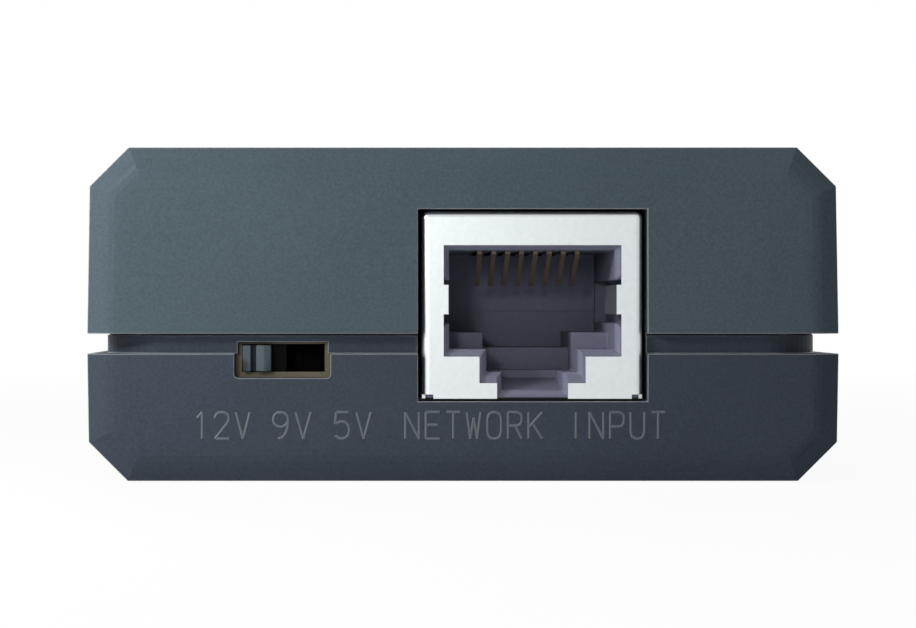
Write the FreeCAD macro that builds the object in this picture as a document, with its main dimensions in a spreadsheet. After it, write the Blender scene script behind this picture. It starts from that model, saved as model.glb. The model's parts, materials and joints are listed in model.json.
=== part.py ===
"""PoE splitter: a two-piece moulded case with a network port at each end, a DC outlet and a voltage switch.

Millimetres. X runs across the front, Y from the front face to the back, Z up. The origin is the middle of the
underside. Every driving size is a cell of the sheet, and every formula below is made of those cells.
"""

import FreeCAD, Part
import math
import os
import re

import Sketcher
from FreeCAD import Placement, Rotation, Vector

SIZES = [
    # Case: outer form and walls
    ("case_width", 54),
    ("case_depth", 80.8),
    ("case_height", 24),
    ("wall", 2),
    ("edge_chamfer", 2.8),
    ("draft_slope", 0.014),
    ("bevel_width", 1.6),
    ("bevel_depth", 0.9),
    ("bevel_round", 3),
    ("inner_break", 1.5),
    ("over_cut", 1),
    ("cut_lap", 0.1),
    # Seam between the two shells
    ("parting_height", 10.6),
    ("parting_gap", 0.12),
    ("ledge_height", 9.17),
    ("band_recess", 0.95),
    ("band_corner", 4.5),
    ("lip_recess", 1.3),
    ("lip_rise", 1.6),
    ("lip_play", 0.08),
    # Screw bosses, screws and board posts
    ("boss_side_inset", 5.8),
    ("boss_end_inset", 5.9),
    ("boss_radius", 3.3),
    ("boss_split", 9),
    ("boss_gap", 0.1),
    ("head_pocket_radius", 2.35),
    ("head_pocket_depth", 3.2),
    ("head_radius", 2.1),
    ("head_height", 1.6),
    ("head_recess", 0.4),
    ("head_drive", 0.5),
    ("drive_arm", 1.25),
    ("thread_radius", 1.3),
    ("thread_hole_play", 0.15),
    ("thread_bite", 0.02),
    ("screw_hole_spare", 0.15),
    ("screw_length", 12),
    ("post_half", 1.3),
    ("post_side_inset", 4.4),
    ("front_post_inset", 18.4),
    ("rear_post_inset", 20.4),
    ("right_post_y", 1.5),
    ("post_play", 0.05),
    # Wall-mount keyholes in the underside
    ("keyhole_spacing", 40),
    ("keyhole_radius", 3.3),
    ("keyhole_slot_radius", 1.7),
    ("keyhole_run", 5),
    # Circuit board
    ("board_bottom", 4.35),
    ("board_thick", 1.6),
    ("board_play", 0.4),
    ("board_notch_play", 0.4),
    ("tail_length", 1.2),
    ("tail_hole_play", 0.12),
    # Network ports
    ("jack_x", 4.95),
    ("jack_recess", 0.3),
    ("jack_width", 15.8),
    ("jack_height", 13.42),
    ("jack_depth", 18.5),
    ("jack_sheet", 0.25),
    ("jack_bend", 0.5),
    ("jack_fit", 0.03),
    ("port_side_gap", 0.3),
    ("port_top_gap", 0.15),
    ("port_bottom_gap", 0.18),
    ("shield_mouth_half", 6.36),
    ("shield_mouth_bottom", 3.01),
    ("shield_mouth_top", 10.99),
    ("shield_step_half", 3.8),
    ("shield_step_bottom", 1.11),
    ("shield_latch_half", 2.535),
    ("shield_foot_notch", 0.8),
    ("shield_foot_rise", 0.3),
    ("finger_low", 6.04),
    ("finger_high", 8.15),
    ("finger_reach", 0.34),
    ("finger_lean", 0.26),
    ("finger_length", 5),
    ("finger_root", 0.14),
    ("tab_front", 8.2),
    ("tab_width", 1.6),
    ("plug_half", 5.935),
    ("plug_bottom", 3.55),
    ("plug_top", 10.65),
    ("plug_depth", 13),
    ("sill_depth", 4.9),
    ("sill_top", 4.7),
    ("sill_half", 3.27),
    ("keyway_bottom", 1.91),
    ("keyway_depth", 7),
    ("latch_half", 2.175),
    ("latch_bottom", 0.49),
    ("latch_depth", 5),
    ("latch_ramp", 0.86),
    ("groove_low", 5.41),
    ("groove_high", 8.49),
    ("groove_half", 6.85),
    ("carrier_front", 2.9),
    ("carrier_thick", 1.4),
    ("carrier_play", 0.05),
    ("carrier_step_height", 6.3),
    ("carrier_step", 0.25),
    ("contact_count", 8),
    ("contact_pitch", 1.02),
    ("contact_width", 0.34),
    ("contact_thick", 0.25),
    ("contact_slot_play", 0.08),
    ("contact_bend_depth", 3.45),
    ("contact_bend_drop", 0.65),
    ("contact_tip_depth", 7.7),
    ("contact_tip_height", 8.4),
    ("contact_tail_depth", 15.4),
    ("contact_roof_height", 11.1),
    # DC outlet
    ("dc_boss_gap", 0.4),
    ("dc_recess", 0.3),
    ("dc_width", 9),
    ("dc_height", 11),
    ("dc_length", 14.2),
    ("dc_flange", 3.4),
    ("dc_axis", 6.5),
    ("dc_bore_radius", 3.1),
    ("dc_bore_depth", 9.5),
    ("dc_port_gap", 0.2),
    ("dc_pin_radius", 1),
    ("dc_pin_root_half", 1.25),
    ("dc_pin_recess", 1.2),
    ("dc_pin_tip", 0.45),
    ("dc_pin_play", 0.02),
    ("dc_tab_half", 1.5),
    ("dc_tab_thick", 0.35),
    ("dc_spring_half", 0.9),
    ("dc_spring_thick", 0.3),
    ("dc_spring_depth", 8.2),
    ("dc_spring_reach", 0.25),
    ("dc_spring_run", 3),
    ("dc_spring_drop", 1.8),
    ("dc_spring_play", 0.1),
    # Voltage switch
    ("switch_boss_gap", 0.25),
    ("switch_set_back", 2.2),
    ("switch_width", 9.4),
    ("switch_height", 5.6),
    ("switch_depth", 5.4),
    ("switch_sheet", 0.3),
    ("switch_bend", 0.4),
    ("switch_leg", 1.2),
    ("window_half", 3.435),
    ("window_band_half", 3.235),
    ("window_bottom", 7.44),
    ("window_top", 10),
    ("window_corner", 0.3),
    ("knob_width", 2.06),
    ("knob_height", 1.9),
    ("knob_travel", 3.7),
    ("knob_axis", 2.88),
    ("knob_play", 0.12),
    ("knob_slot_rise", 0.06),
    ("knob_tip_recess", 0.6),
    ("knob_left_rib", 0.6),
    ("knob_groove", 0.37),
    ("knob_groove_depth", 0.9),
    ("knob_peak", 0.18),
    ("slider_half", 2.1),
    ("slider_height", 4.4),
    ("slider_depth", 2.2),
    ("slider_play", 0.1),
    ("wiper_thick", 0.2),
    ("wiper_half", 1.8),
    ("wiper_seat", 0.7),
    ("wiper_height", 1.6),
    ("wiper_gap", 0.06),
    ("base_thick", 1.1),
    ("base_play", 0.05),
    ("terminal_count", 4),
    ("terminal_pitch", 2),
    ("terminal_width", 0.5),
    ("terminal_thick", 0.3),
    ("terminal_head", 0.25),
    ("terminal_gap", 0.2),
    # Power indicator
    ("led_side_inset", 11.5),
    ("led_end_inset", 15.4),
    ("led_length", 1.6),
    ("led_width", 0.8),
    ("led_height", 0.7),
    ("pipe_radius", 1.3),
    ("pipe_flange_half", 1.9),
    ("pipe_flange_thick", 0.8),
    ("pipe_gap", 0.3),
    ("pipe_play", 0.05),
    ("pipe_recess", 0.1),
    # Flyback transformer
    ("transformer_inset", 3.6),
    ("transformer_y", -4),
    ("core_width", 16),
    ("core_height", 14),
    ("core_thick", 5),
    ("core_leg", 2.3),
    ("core_back", 2),
    ("core_centre", 4),
    ("core_gap", 0.06),
    ("bobbin_play", 0.1),
    ("bobbin_wall", 0.7),
    ("bobbin_flange", 0.9),
    ("bobbin_depth", 14),
    ("winding_depth", 12.4),
    ("winding_fold", 1.4),
    # Line transformer module
    ("module_y", -4),
    ("module_width", 12),
    ("module_length", 17.6),
    ("module_height", 5.8),
    ("module_stand_off", 0.3),
    ("module_edge", 0.8),
    ("lead_count", 8),
    ("lead_pitch", 2),
    ("lead_width", 0.5),
    ("lead_thick", 0.25),
    ("lead_reach", 1.3),
    ("lead_foot", 0.9),
    ("lead_height", 2),
    # Capacitors
    ("lead_half", 0.25),
    ("input_capacitor_inset", 6.8),
    ("input_capacitor_end", 23.4),
    ("input_capacitor_radius", 4),
    ("input_capacitor_height", 13),
    ("input_capacitor_pitch", 3.5),
    ("output_capacitor_inset", 6.8),
    ("output_capacitor_gap", 0.9),
    ("output_capacitor_radius", 4),
    ("output_capacitor_height", 11.5),
    ("output_capacitor_pitch", 3.5),
    ("output_capacitor_step", 8.6),
    ("safety_capacitor_offset", 2.25),
    ("safety_capacitor_end", 26.9),
    ("safety_capacitor_radius", 4),
    ("safety_capacitor_thick", 3.6),
    # Output choke
    ("choke_inset", 6.6),
    ("choke_y", -8),
    ("choke_half", 4),
    ("choke_height", 7),
    ("choke_flange", 1),
    ("choke_post_half", 1.6),
    ("choke_wire_radius", 3.6),
    ("choke_play", 0.05),
    # Chips on the board
    ("controller_inset", 13),
    ("controller_end", 27.4),
    ("controller_length", 9.9),
    ("controller_width", 3.9),
    ("controller_height", 1.6),
    ("controller_legs", 4),
    ("controller_leg_pitch", 1.27),
    ("optocoupler_offset", -7.95),
    ("optocoupler_end", 28.4),
    ("optocoupler_length", 4.6),
    ("optocoupler_width", 6.5),
    ("optocoupler_height", 3.5),
    ("optocoupler_legs", 2),
    ("optocoupler_leg_pitch", 2.54),
    ("rectifier_offset", -11.6),
    ("rectifier_end", 13.9),
    ("rectifier_step", 7),
    ("rectifier_length", 4.7),
    ("rectifier_width", 3.9),
    ("rectifier_height", 2.5),
    ("rectifier_legs", 2),
    ("rectifier_leg_pitch", 2.5),
    ("transistor_inset", 8.5),
    ("transistor_end", 22.9),
    ("transistor_length", 6.1),
    ("transistor_width", 6.6),
    ("transistor_height", 2.3),
    ("transistor_legs", 3),
    ("transistor_leg_pitch", 2.28),
    ("diode_inset", 6.5),
    ("diode_end", 14.4),
    ("diode_length", 6.8),
    ("diode_width", 5.8),
    ("diode_height", 2.3),
    ("diode_legs", 2),
    ("diode_leg_pitch", 3),
    ("leg_width", 0.45),
    ("leg_thick", 0.25),
    ("leg_reach", 1),
    ("chip_edge", 0.3),
    ("resistor_offset", -10.4),
    ("resistor_end", 22),
    ("resistor_count", 4),
    ("resistor_pitch", 2.4),
    ("resistor_length", 2),
    ("resistor_width", 1.25),
    ("resistor_height", 0.55),
]

NAMES = {name for name, value in SIZES}
WORD = re.compile(r"[a-z_][a-z_0-9]*")

# How close two places are that are the same, and the share of a wall or bevel that tells its two sides apart
TOUCH = 1e-3
NEARLY = 0.9

# Derived places, as formulas of the cells. Those with a gap in them take the name of the piece they place.
HALF_WIDTH = "case_width / 2"
HALF_DEPTH = "case_depth / 2"
INNER_HALF_WIDTH = "(case_width / 2 - wall)"
INNER_HALF_DEPTH = "(case_depth / 2 - wall)"
BOARD_TOP = "(board_bottom + board_thick)"
TAIL_END = "-(board_thick + tail_length)"
LIP_TOP = "(parting_height + lip_rise)"
HEAD_SEAT = "head_pocket_depth"
BOSS_X = "(case_width / 2 - boss_side_inset)"
BOSS_Y = "(case_depth / 2 - boss_end_inset)"
BOSSES = [(x + BOSS_X, y + BOSS_Y) for x in ("-", "") for y in ("-", "")]
POST_X = "(case_width / 2 - post_side_inset)"
POSTS = [
    ("-" + POST_X, "(front_post_inset - case_depth / 2)"),
    ("-" + POST_X, "(case_depth / 2 - rear_post_inset)"),
    (POST_X, "right_post_y"),
]
WALL_ROUND = "band_corner + band_recess - wall"
LIP_ROUND = "band_corner + band_recess - lip_recess"
PORT_LOW = BOARD_TOP + " - port_bottom_gap"
FRONT_WALL = ("-case_depth / 2 - over_cut", "over_cut / 2 - " + INNER_HALF_DEPTH)
REAR_WALL = (INNER_HALF_DEPTH + " - over_cut / 2", "case_depth / 2 + over_cut")
INPUT_FACE = "(jack_recess - case_depth / 2)"
OUTPUT_FACE = "(case_depth / 2 - jack_recess)"
DC_X = "(%s - boss_radius - dc_boss_gap - dc_width / 2)" % BOSS_X
DC_FACE = "(case_depth / 2 - dc_recess)"
SWITCH_X = "(boss_radius + switch_boss_gap + switch_width / 2 - %s)" % BOSS_X
SWITCH_FACE = "(switch_set_back - case_depth / 2)"
TERMINAL_DROP = "(switch_depth + terminal_gap)"
LED_PLACE = ("(led_side_inset - case_width / 2)", "(led_end_inset - case_depth / 2)")
TRANSFORMER_X = "(transformer_inset + core_width / 2 - case_width / 2)"
CAN_PLACES = {
    "input_capacitor": ("(case_width / 2 - input_capacitor_inset)", "(input_capacitor_end - case_depth / 2)"),
    "output_capacitor": (
        "(case_width / 2 - output_capacitor_inset)",
        "(%s - dc_length - output_capacitor_gap - output_capacitor_radius - output_capacitor_step)" % DC_FACE,
    ),
}
LEFT = "(%s_inset - case_width / 2)"
RIGHT = "(case_width / 2 - %s_inset)"
BY_JACK = "(jack_x + %s_offset)"
FRONT = "(%s_end - case_depth / 2)"
REAR = "(case_depth / 2 - %s_end)"

doc = FreeCAD.newDocument("poe_splitter")
sheet = doc.addObject("Spreadsheet::Sheet", "sizes")
for row, (name, value) in enumerate(SIZES, 1):
    sheet.set("A%d" % row, name)
    sheet.set("B%d" % row, str(value))
    sheet.setAlias("B%d" % row, name)
doc.recompute()


def bind(item, path, formula):
    """Bind one property to a formula whose words are cells of the sheet."""
    full = WORD.sub(lambda found: ("sizes." if found.group() in NAMES else "") + found.group(), formula)
    item.setExpression(path, full)


def new_body(label, origin=("0", "0", "0"), turned_back=False):
    """A body with its own frame: origin is where that frame stands, turned_back faces it to the rear."""
    body = doc.addObject("PartDesign::Body", label)
    body.Label = label
    body.Placement = Placement(Vector(), Rotation(Vector(0, 0, 1), 180 if turned_back else 0))
    for axis, formula in zip("xyz", origin):
        bind(body, "Placement.Base." + axis, formula)
    return body


def origin_feature(body, role):
    return next(feature for feature in body.Origin.OriginFeatures if feature.Role == role)


def settle(body, feature, cut):
    """Make the feature the body's tip, and stop where a cut takes nothing or an addition adds nothing."""
    before = 0 if body.Shape.isNull() else body.Shape.Volume
    body.Tip = feature
    doc.recompute()
    after = body.Shape.Volume
    if "Invalid" in feature.State or not feature.Shape.isValid():
        raise RuntimeError("%s: %s failed" % (body.Label, feature.Name))
    if after >= before if cut else after <= before:
        raise RuntimeError("%s: %s changed nothing" % (body.Label, feature.Name))
    return feature


def new_sketch(body, role, height="0"):
    """A sketch on one of the body's own planes, moved along its normal by height."""
    sketch = body.newObject("Sketcher::SketchObject", "outline")
    sketch.AttachmentSupport = [(origin_feature(body, role), "")]
    sketch.MapMode = "FlatFace"
    bind(sketch, "AttachmentOffset.Base.z", height)
    return sketch


def draw_polygon(sketch, points):
    """A closed outline whose corners are held by formulas."""
    count = len(points)
    first = sketch.GeometryCount
    turn = 2 * math.pi / count
    ring = [Vector(math.cos(turn * i), math.sin(turn * i), 0) for i in range(count)]
    sketch.addGeometry([Part.LineSegment(ring[i], ring[(i + 1) % count]) for i in range(count)], False)
    sketch.addConstraint([
        Sketcher.Constraint("Coincident", first + i, 2, first + (i + 1) % count, 1) for i in range(count)
    ])
    held = []
    formulas = []
    for i, (x, y) in enumerate(points):
        held.append(Sketcher.Constraint("DistanceX", -1, 1, first + i, 1, ring[i].x))
        held.append(Sketcher.Constraint("DistanceY", -1, 1, first + i, 1, ring[i].y))
        formulas += [x, y]
    for index, formula in zip(sketch.addConstraint(held), formulas):
        bind(sketch, "Constraints[%d]" % index, formula)


def draw_circle(sketch, x, y, radius):
    index = sketch.addGeometry(Part.Circle(Vector(1, 1, 0), Vector(0, 0, 1), 1), False)
    for kind, formula in (("DistanceX", x), ("DistanceY", y)):
        held = sketch.addConstraint(Sketcher.Constraint(kind, -1, 1, index, 3, 1))
        bind(sketch, "Constraints[%d]" % held, formula)
    held = sketch.addConstraint(Sketcher.Constraint("Radius", index, 1))
    bind(sketch, "Constraints[%d]" % held, radius)


def rectangle(half_width, low, high):
    return [("-(%s)" % half_width, low), (half_width, low), (half_width, high), ("-(%s)" % half_width, high)]


PLANES = {"Z": "XY_Plane", "Y": "XZ_Plane", "X": "YZ_Plane"}


def extrude(body, name, axis, low, high, outlines=(), circles=(), plans=(), cut=False):
    """Pad or pocket outlines along an axis of the body from low to high.

    Outlines lie in (x, y) for axis Z, (x, z) for axis Y and (y, z) for axis X.
    """
    backwards = axis == "Y"
    if cut:
        height = "-(%s)" % low if backwards else high
    else:
        height = "-(%s)" % high if backwards else low
    sketch = new_sketch(body, PLANES[axis], height)
    for points in outlines:
        draw_polygon(sketch, points)
    for x, y, radius in circles:
        draw_circle(sketch, x, y, radius)
    for outline in plans:
        draw_plan(sketch, outline)
    feature = body.newObject("PartDesign::Pocket" if cut else "PartDesign::Pad", name)
    feature.Profile = sketch
    bind(feature, "Length", "(%s) - (%s)" % (high, low))
    return settle(body, feature, cut)


def block(body, name, x, y, z, cut=False):
    """A box between two formulas on each axis, added or cut."""
    kind = "PartDesign::SubtractiveBox" if cut else "PartDesign::AdditiveBox"
    feature = body.newObject(kind, name)
    for axis, side, (low, high) in zip("xyz", ("Length", "Width", "Height"), (x, y, z)):
        bind(feature, "Placement.Base." + axis, low)
        bind(feature, side, "(%s) - (%s)" % (high, low))
    return settle(body, feature, cut)


def repeat(body, name, originals, count, length, role="X_Axis", cut=False):
    """Copies of features in a straight row, count of them over the length."""
    feature = body.newObject("PartDesign::LinearPattern", name)
    feature.Originals = originals
    feature.Direction = (origin_feature(body, role), [""])
    bind(feature, "Occurrences", count)
    bind(feature, "Length", length)
    return settle(body, feature, cut)


def mirror(body, name, originals, roles, cut=False):
    """Copies of features in one or two of the body's planes."""
    feature = body.newObject("PartDesign::MultiTransform", name)
    steps = []
    for role in roles:
        step = body.newObject("PartDesign::Mirrored", "mirror")
        step.MirrorPlane = (origin_feature(body, role), [""])
        steps.append(step)
    feature.Originals = originals
    feature.Transformations = steps
    return settle(body, feature, cut)


def soften(body, name, chosen, size, kind="PartDesign::Fillet", cut=True):
    """Round or chamfer the edges for which chosen(points, edge) is true."""
    base = body.Tip
    names = [
        "Edge%d" % i
        for i, edge in enumerate(base.Shape.Edges, 1)
        if chosen([vertex.Point for vertex in edge.Vertexes], edge)
    ]
    feature = body.newObject(kind, name)
    feature.Base = (base, names)
    bind(feature, "Radius" if kind == "PartDesign::Fillet" else "Size", size)
    return settle(body, feature, cut)


def value(name):
    """The number in a cell, for choosing edges by where they lie."""
    return float(sheet.get(name))


def upright(points, edge):
    return len(points) == 2 and all(abs(points[0][axis] - points[1][axis]) < TOUCH for axis in (0, 1))


def outer_form(body, seam, face, sign):
    """One half of the case's outside: drafted sides, long 45 degree chamfers and bevelled ends.

    seam is the height of its open edge, face the height of its flat, and sign is 1 for the upper half.
    """
    level = "(%s - %d * edge_chamfer)" % (face, sign)
    side = "(case_width / 2 - %d * (%s - (%s)) * draft_slope)" % (sign, level, seam)
    low, high = (seam, face) if sign > 0 else (face, seam)
    outline = [
        ("-case_width / 2", seam),
        ("case_width / 2", seam),
        (side, level),
        (side + " - edge_chamfer", face),
        ("edge_chamfer - " + side, face),
        ("-" + side, level),
    ]
    extrude(body, "form", "Y", "-case_depth / 2", HALF_DEPTH, [outline])

    # End faces that lean with the draft, and the bevel where they meet the flat
    bevel_level = "(%s - %d * bevel_width)" % (face, sign)
    beyond = "(%s + %d * over_cut)" % (face, sign)
    lean = "%d * (%s - (%s)) * draft_slope" % (sign, bevel_level, seam)
    ends = []
    for end in ("-", ""):
        run = [("0", seam), (lean, bevel_level), (lean + " + bevel_depth", face)]
        run += [(lean + " + bevel_depth", beyond), ("-over_cut", beyond), ("-over_cut", seam)]
        ends.append([("%s(case_depth / 2 - (%s))" % (end, inset), z) for inset, z in run])
    extrude(body, "end_lean", "X", "-case_width", "case_width", ends, cut=True)

    # Bevels beside the upright edges, along the line where two drafted faces meet
    corner = new_sketch(body, "XY_Plane", seam)
    draw_polygon(corner, [
        ("case_width / 2 - 2 * bevel_width", "-case_depth / 2 - bevel_depth"),
        ("case_width / 2 + bevel_width", "-case_depth / 2 - bevel_depth"),
        ("case_width / 2 + bevel_width", "2 * bevel_depth - case_depth / 2"),
    ])
    upright_bevel = bevel_pocket(body, corner, "upright_bevel", (-1, 1, sign))
    bind(upright_bevel, "Direction.x", "-draft_slope")
    bind(upright_bevel, "Direction.y", "draft_slope")
    settle(body, upright_bevel, True)

    # Bevels beside the long chamfers, in a plane that the chamfer's edge crosses squarely
    reach = "((%s + %d * %s) / sqrt(2))" % (side, sign, level)
    front = "((%s / sqrt(2) - %d * (%s)) * draft_slope - case_depth / 2)" % (reach, sign, seam)
    slant = new_sketch(body, "XY_Plane")
    slant.AttachmentOffset = Placement(Vector(), Rotation(Vector(0, 1, 0), -45 * sign))
    draw_polygon(slant, [
        (reach + " - 2 * bevel_width", front + " - bevel_depth"),
        (reach + " + bevel_width", front + " - bevel_depth"),
        (reach + " + bevel_width", front + " + 2 * bevel_depth"),
    ])
    slant_bevel = bevel_pocket(body, slant, "slant_bevel", (-1, 1, sign))
    bind(slant_bevel, "Direction.y", "draft_slope")
    settle(body, slant_bevel, True)
    mirror(body, "other_corners", [upright_bevel, slant_bevel], ("YZ_Plane", "XZ_Plane"), cut=True)

    # A soft ridge where each end face rolls into its bevel
    flat = value("case_depth") / 2 - NEARLY * value("bevel_depth")
    seam_z = body.Shape.BoundBox.ZMin if sign > 0 else body.Shape.BoundBox.ZMax

    def ridge(points, edge):
        inner = all(abs(p.x) < value("case_width") / 2 - NEARLY * value("bevel_width") for p in points)
        off_seam = any(abs(p.z - seam_z) > TOUCH for p in points)
        return inner and off_seam and all(abs(p.y) > flat for p in points)

    soften(body, "end_round", ridge, "bevel_round")


def bevel_pocket(body, sketch, name, direction):
    """A pocket both ways from its sketch, along a direction of its own."""
    doc.recompute()
    pocket = body.newObject("PartDesign::Pocket", name)
    pocket.Profile = sketch
    pocket.Midplane = True
    pocket.UseCustomVector = True
    pocket.Direction = Vector(*direction)
    bind(pocket, "Length", "2 * case_width")
    return pocket


def plan(inset, radius):
    """The case's plan outline with round corners, smaller by inset on every side."""
    return ("(case_width / 2 - (%s))" % inset, "(case_depth / 2 - (%s))" % inset, radius)


def cut_plan(inset, radius):
    """The same outline with its corners cut across, each cut touching the arc of that radius."""
    x, y, radius = plan(inset, radius)
    cut = "(%s) * (2 - sqrt(2))" % radius
    corner = [("(%s)" % x, "(%s - %s)" % (y, cut)), ("(%s - %s)" % (x, cut), "(%s)" % y)]
    outline = []
    for sx, sy, order in (("", "", 1), ("-", "", -1), ("-", "-", 1), ("", "-", -1)):
        outline += [(sx + px, sy + py) for px, py in corner[::order]]
    return outline


def draw_plan(sketch, outline):
    """Four sides joined by quarter arcs, with both ends of every side held by formulas."""
    x, y, radius = outline
    first = sketch.GeometryCount
    wide, deep, bend = 3, 4, 1
    corners = [(1, -1), (1, 1), (-1, 1), (-1, -1)]
    for i, (sx, sy) in enumerate(corners):
        nx, ny = corners[(i + 1) % 4]
        along_y = sx == nx
        held = []
        for ex, ey in ((sx, sy), (nx, ny)):
            dx, dy = (0, -ey) if along_y else (-ex, 0)
            held.append((Vector(ex * wide + dx * bend, ey * deep + dy * bend, 0), (ex, ey, dx, dy)))
        line = sketch.addGeometry(Part.LineSegment(held[0][0], held[1][0]), False)
        for end, (point, (ex, ey, dx, dy)) in enumerate(held, 1):
            for kind, start, sign, half, shift in (
                ("DistanceX", point.x, ex, x, dx),
                ("DistanceY", point.y, ey, y, dy),
            ):
                index = sketch.addConstraint(Sketcher.Constraint(kind, -1, 1, line, end, start))
                bind(sketch, "Constraints[%d]" % index, "%d * (%s) + %d * (%s)" % (sign, half, shift, radius))
    for i in range(4):
        sx, sy = corners[(i + 1) % 4]
        centre = Vector(sx * (wide - bend), sy * (deep - bend), 0)
        start = math.atan2(sy, sx) - math.pi / 4
        circle = Part.Circle(centre, Vector(0, 0, 1), bend)
        arc = sketch.addGeometry(Part.ArcOfCircle(circle, start, start + math.pi / 2), False)
        sketch.addConstraint(Sketcher.Constraint("Coincident", arc, 1, first + i, 2))
        sketch.addConstraint(Sketcher.Constraint("Coincident", arc, 2, first + (i + 1) % 4, 1))
        index = sketch.addConstraint(Sketcher.Constraint("Radius", arc, bend))
        bind(sketch, "Constraints[%d]" % index, radius)


def break_loop(body, name, height):
    """Chamfer the inner edge where the walls meet the floor or the ceiling, which fills its corner."""
    x = value("case_width") / 2 - NEARLY * value("wall")
    y = value("case_depth") / 2 - NEARLY * value("wall")

    def loop(points, edge):
        return all(abs(p.z - height) < TOUCH and abs(p.x) < x and abs(p.y) < y for p in points)

    return soften(body, name, loop, "inner_break", "PartDesign::Chamfer", cut=False)


def across(centre, half):
    return ("%s - (%s)" % (centre, half), "%s + (%s)" % (centre, half))


def on_side(sign, inner, outer):
    """The span between two distances from the middle, on the side that the sign names."""
    return ("-(%s)" % outer, "-(%s)" % inner) if sign == "-" else (inner, outer)


def box_outline(centre, place, half_x, half_y):
    """A rectangle of the plan about a point."""
    low_x, high_x = across(centre, half_x)
    low_y, high_y = across(place, half_y)
    return [(low_x, low_y), (high_x, low_y), (high_x, high_y), (low_x, high_y)]


def port_cuts(body, low, high, dc_high):
    """The openings in the end walls round the two network ports and the DC outlet."""
    half = "jack_width / 2 + port_side_gap"
    block(body, "input_port", across("jack_x", half), FRONT_WALL, (low, high), cut=True)
    block(body, "output_port", across("-jack_x", half), REAR_WALL, (low, high), cut=True)
    block(body, "dc_port", across(DC_X, "dc_width / 2 + dc_port_gap"), REAR_WALL, (low, dc_high), cut=True)


def bottom_cover():
    body = new_body("bottom_cover")
    outer_form(body, "ledge_height", "0", -1)

    # The hollow, the band round its mouth that is seen in the seam, and the lip that locates the top cover
    inner = cut_plan("wall", WALL_ROUND)
    extrude(body, "hollow", "Z", "wall", "ledge_height + over_cut", [inner], cut=True)
    break_loop(body, "floor_break", value("wall"))
    band = [plan("band_recess", "band_corner")]
    extrude(body, "band", "Z", "ledge_height", "parting_height - parting_gap", [inner], plans=band)
    lip = cut_plan("lip_recess", LIP_ROUND)
    extrude(body, "lip", "Z", "parting_height - parting_gap", LIP_TOP, [lip, inner])

    # Screw bosses with head pockets in the underside, and posts under the board
    extrude(body, "bosses", "Z", "wall / 2", "boss_split", circles=[(x, y, "boss_radius") for x, y in BOSSES])
    posts = [box_outline(x, y, "post_half", "post_half") for x, y in POSTS]
    extrude(body, "posts", "Z", "wall / 2", "board_bottom", posts)
    pockets = [(x, y, "head_pocket_radius") for x, y in BOSSES]
    extrude(body, "head_pockets", "Z", "-over_cut", "head_pocket_depth", circles=pockets, cut=True)
    holes = [(x, y, "thread_radius + thread_hole_play") for x, y in BOSSES]
    extrude(body, "screw_holes", "Z", "0", "boss_split + over_cut", circles=holes, cut=True)

    # Keyholes: a round entry for a wall screw's head and a slot that takes its neck
    places = ("-keyhole_spacing / 2", "keyhole_spacing / 2")
    floor = ("-over_cut", "wall + over_cut")
    entries = [("0", y, "keyhole_radius") for y in places]
    extrude(body, "keyhole_entries", "Z", *floor, circles=entries, cut=True)
    slots = [
        [(side + "keyhole_slot_radius", y + more) for side, more in
         (("-", ""), ("", ""), ("", " + keyhole_run"), ("-", " + keyhole_run"))]
        for y in places
    ]
    extrude(body, "keyhole_slots", "Z", *floor, slots, cut=True)
    ends = [("0", y + " + keyhole_run", "keyhole_slot_radius") for y in places]
    extrude(body, "keyhole_ends", "Z", *floor, circles=ends, cut=True)

    port_cuts(body, PORT_LOW, LIP_TOP + " + over_cut", LIP_TOP + " + over_cut")
    switch_window(body)
    return body


def switch_window(body):
    """The slot that shows the voltage switch: wide in the wall, narrower in the band above it."""
    corners = [
        ("-window_half", "window_bottom"),
        ("window_half", "window_bottom"),
        ("window_half", "ledge_height"),
        ("window_band_half", "ledge_height"),
        ("window_band_half", "window_top"),
        ("-window_band_half", "window_top"),
        ("-window_band_half", "ledge_height"),
        ("-window_half", "ledge_height"),
    ]
    outline = [("%s + (%s)" % (SWITCH_X, x), z) for x, z in corners]
    extrude(body, "switch_window", "Y", FRONT_WALL[0], FRONT_WALL[1], [outline], cut=True)
    low = value("window_bottom")
    half = value("window_half")
    boss_x = value("case_width") / 2 - value("boss_side_inset")
    centre = value("boss_radius") + value("switch_boss_gap") + value("switch_width") / 2 - boss_x

    def lower_corner(points, edge):
        at_height = all(abs(p.z - low) < TOUCH for p in points)
        at_side = all(abs(abs(p.x - centre) - half) < TOUCH for p in points)
        return at_height and at_side and abs(points[0].x - points[-1].x) < half

    soften(body, "window_round", lower_corner, "window_corner", cut=False)


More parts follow.
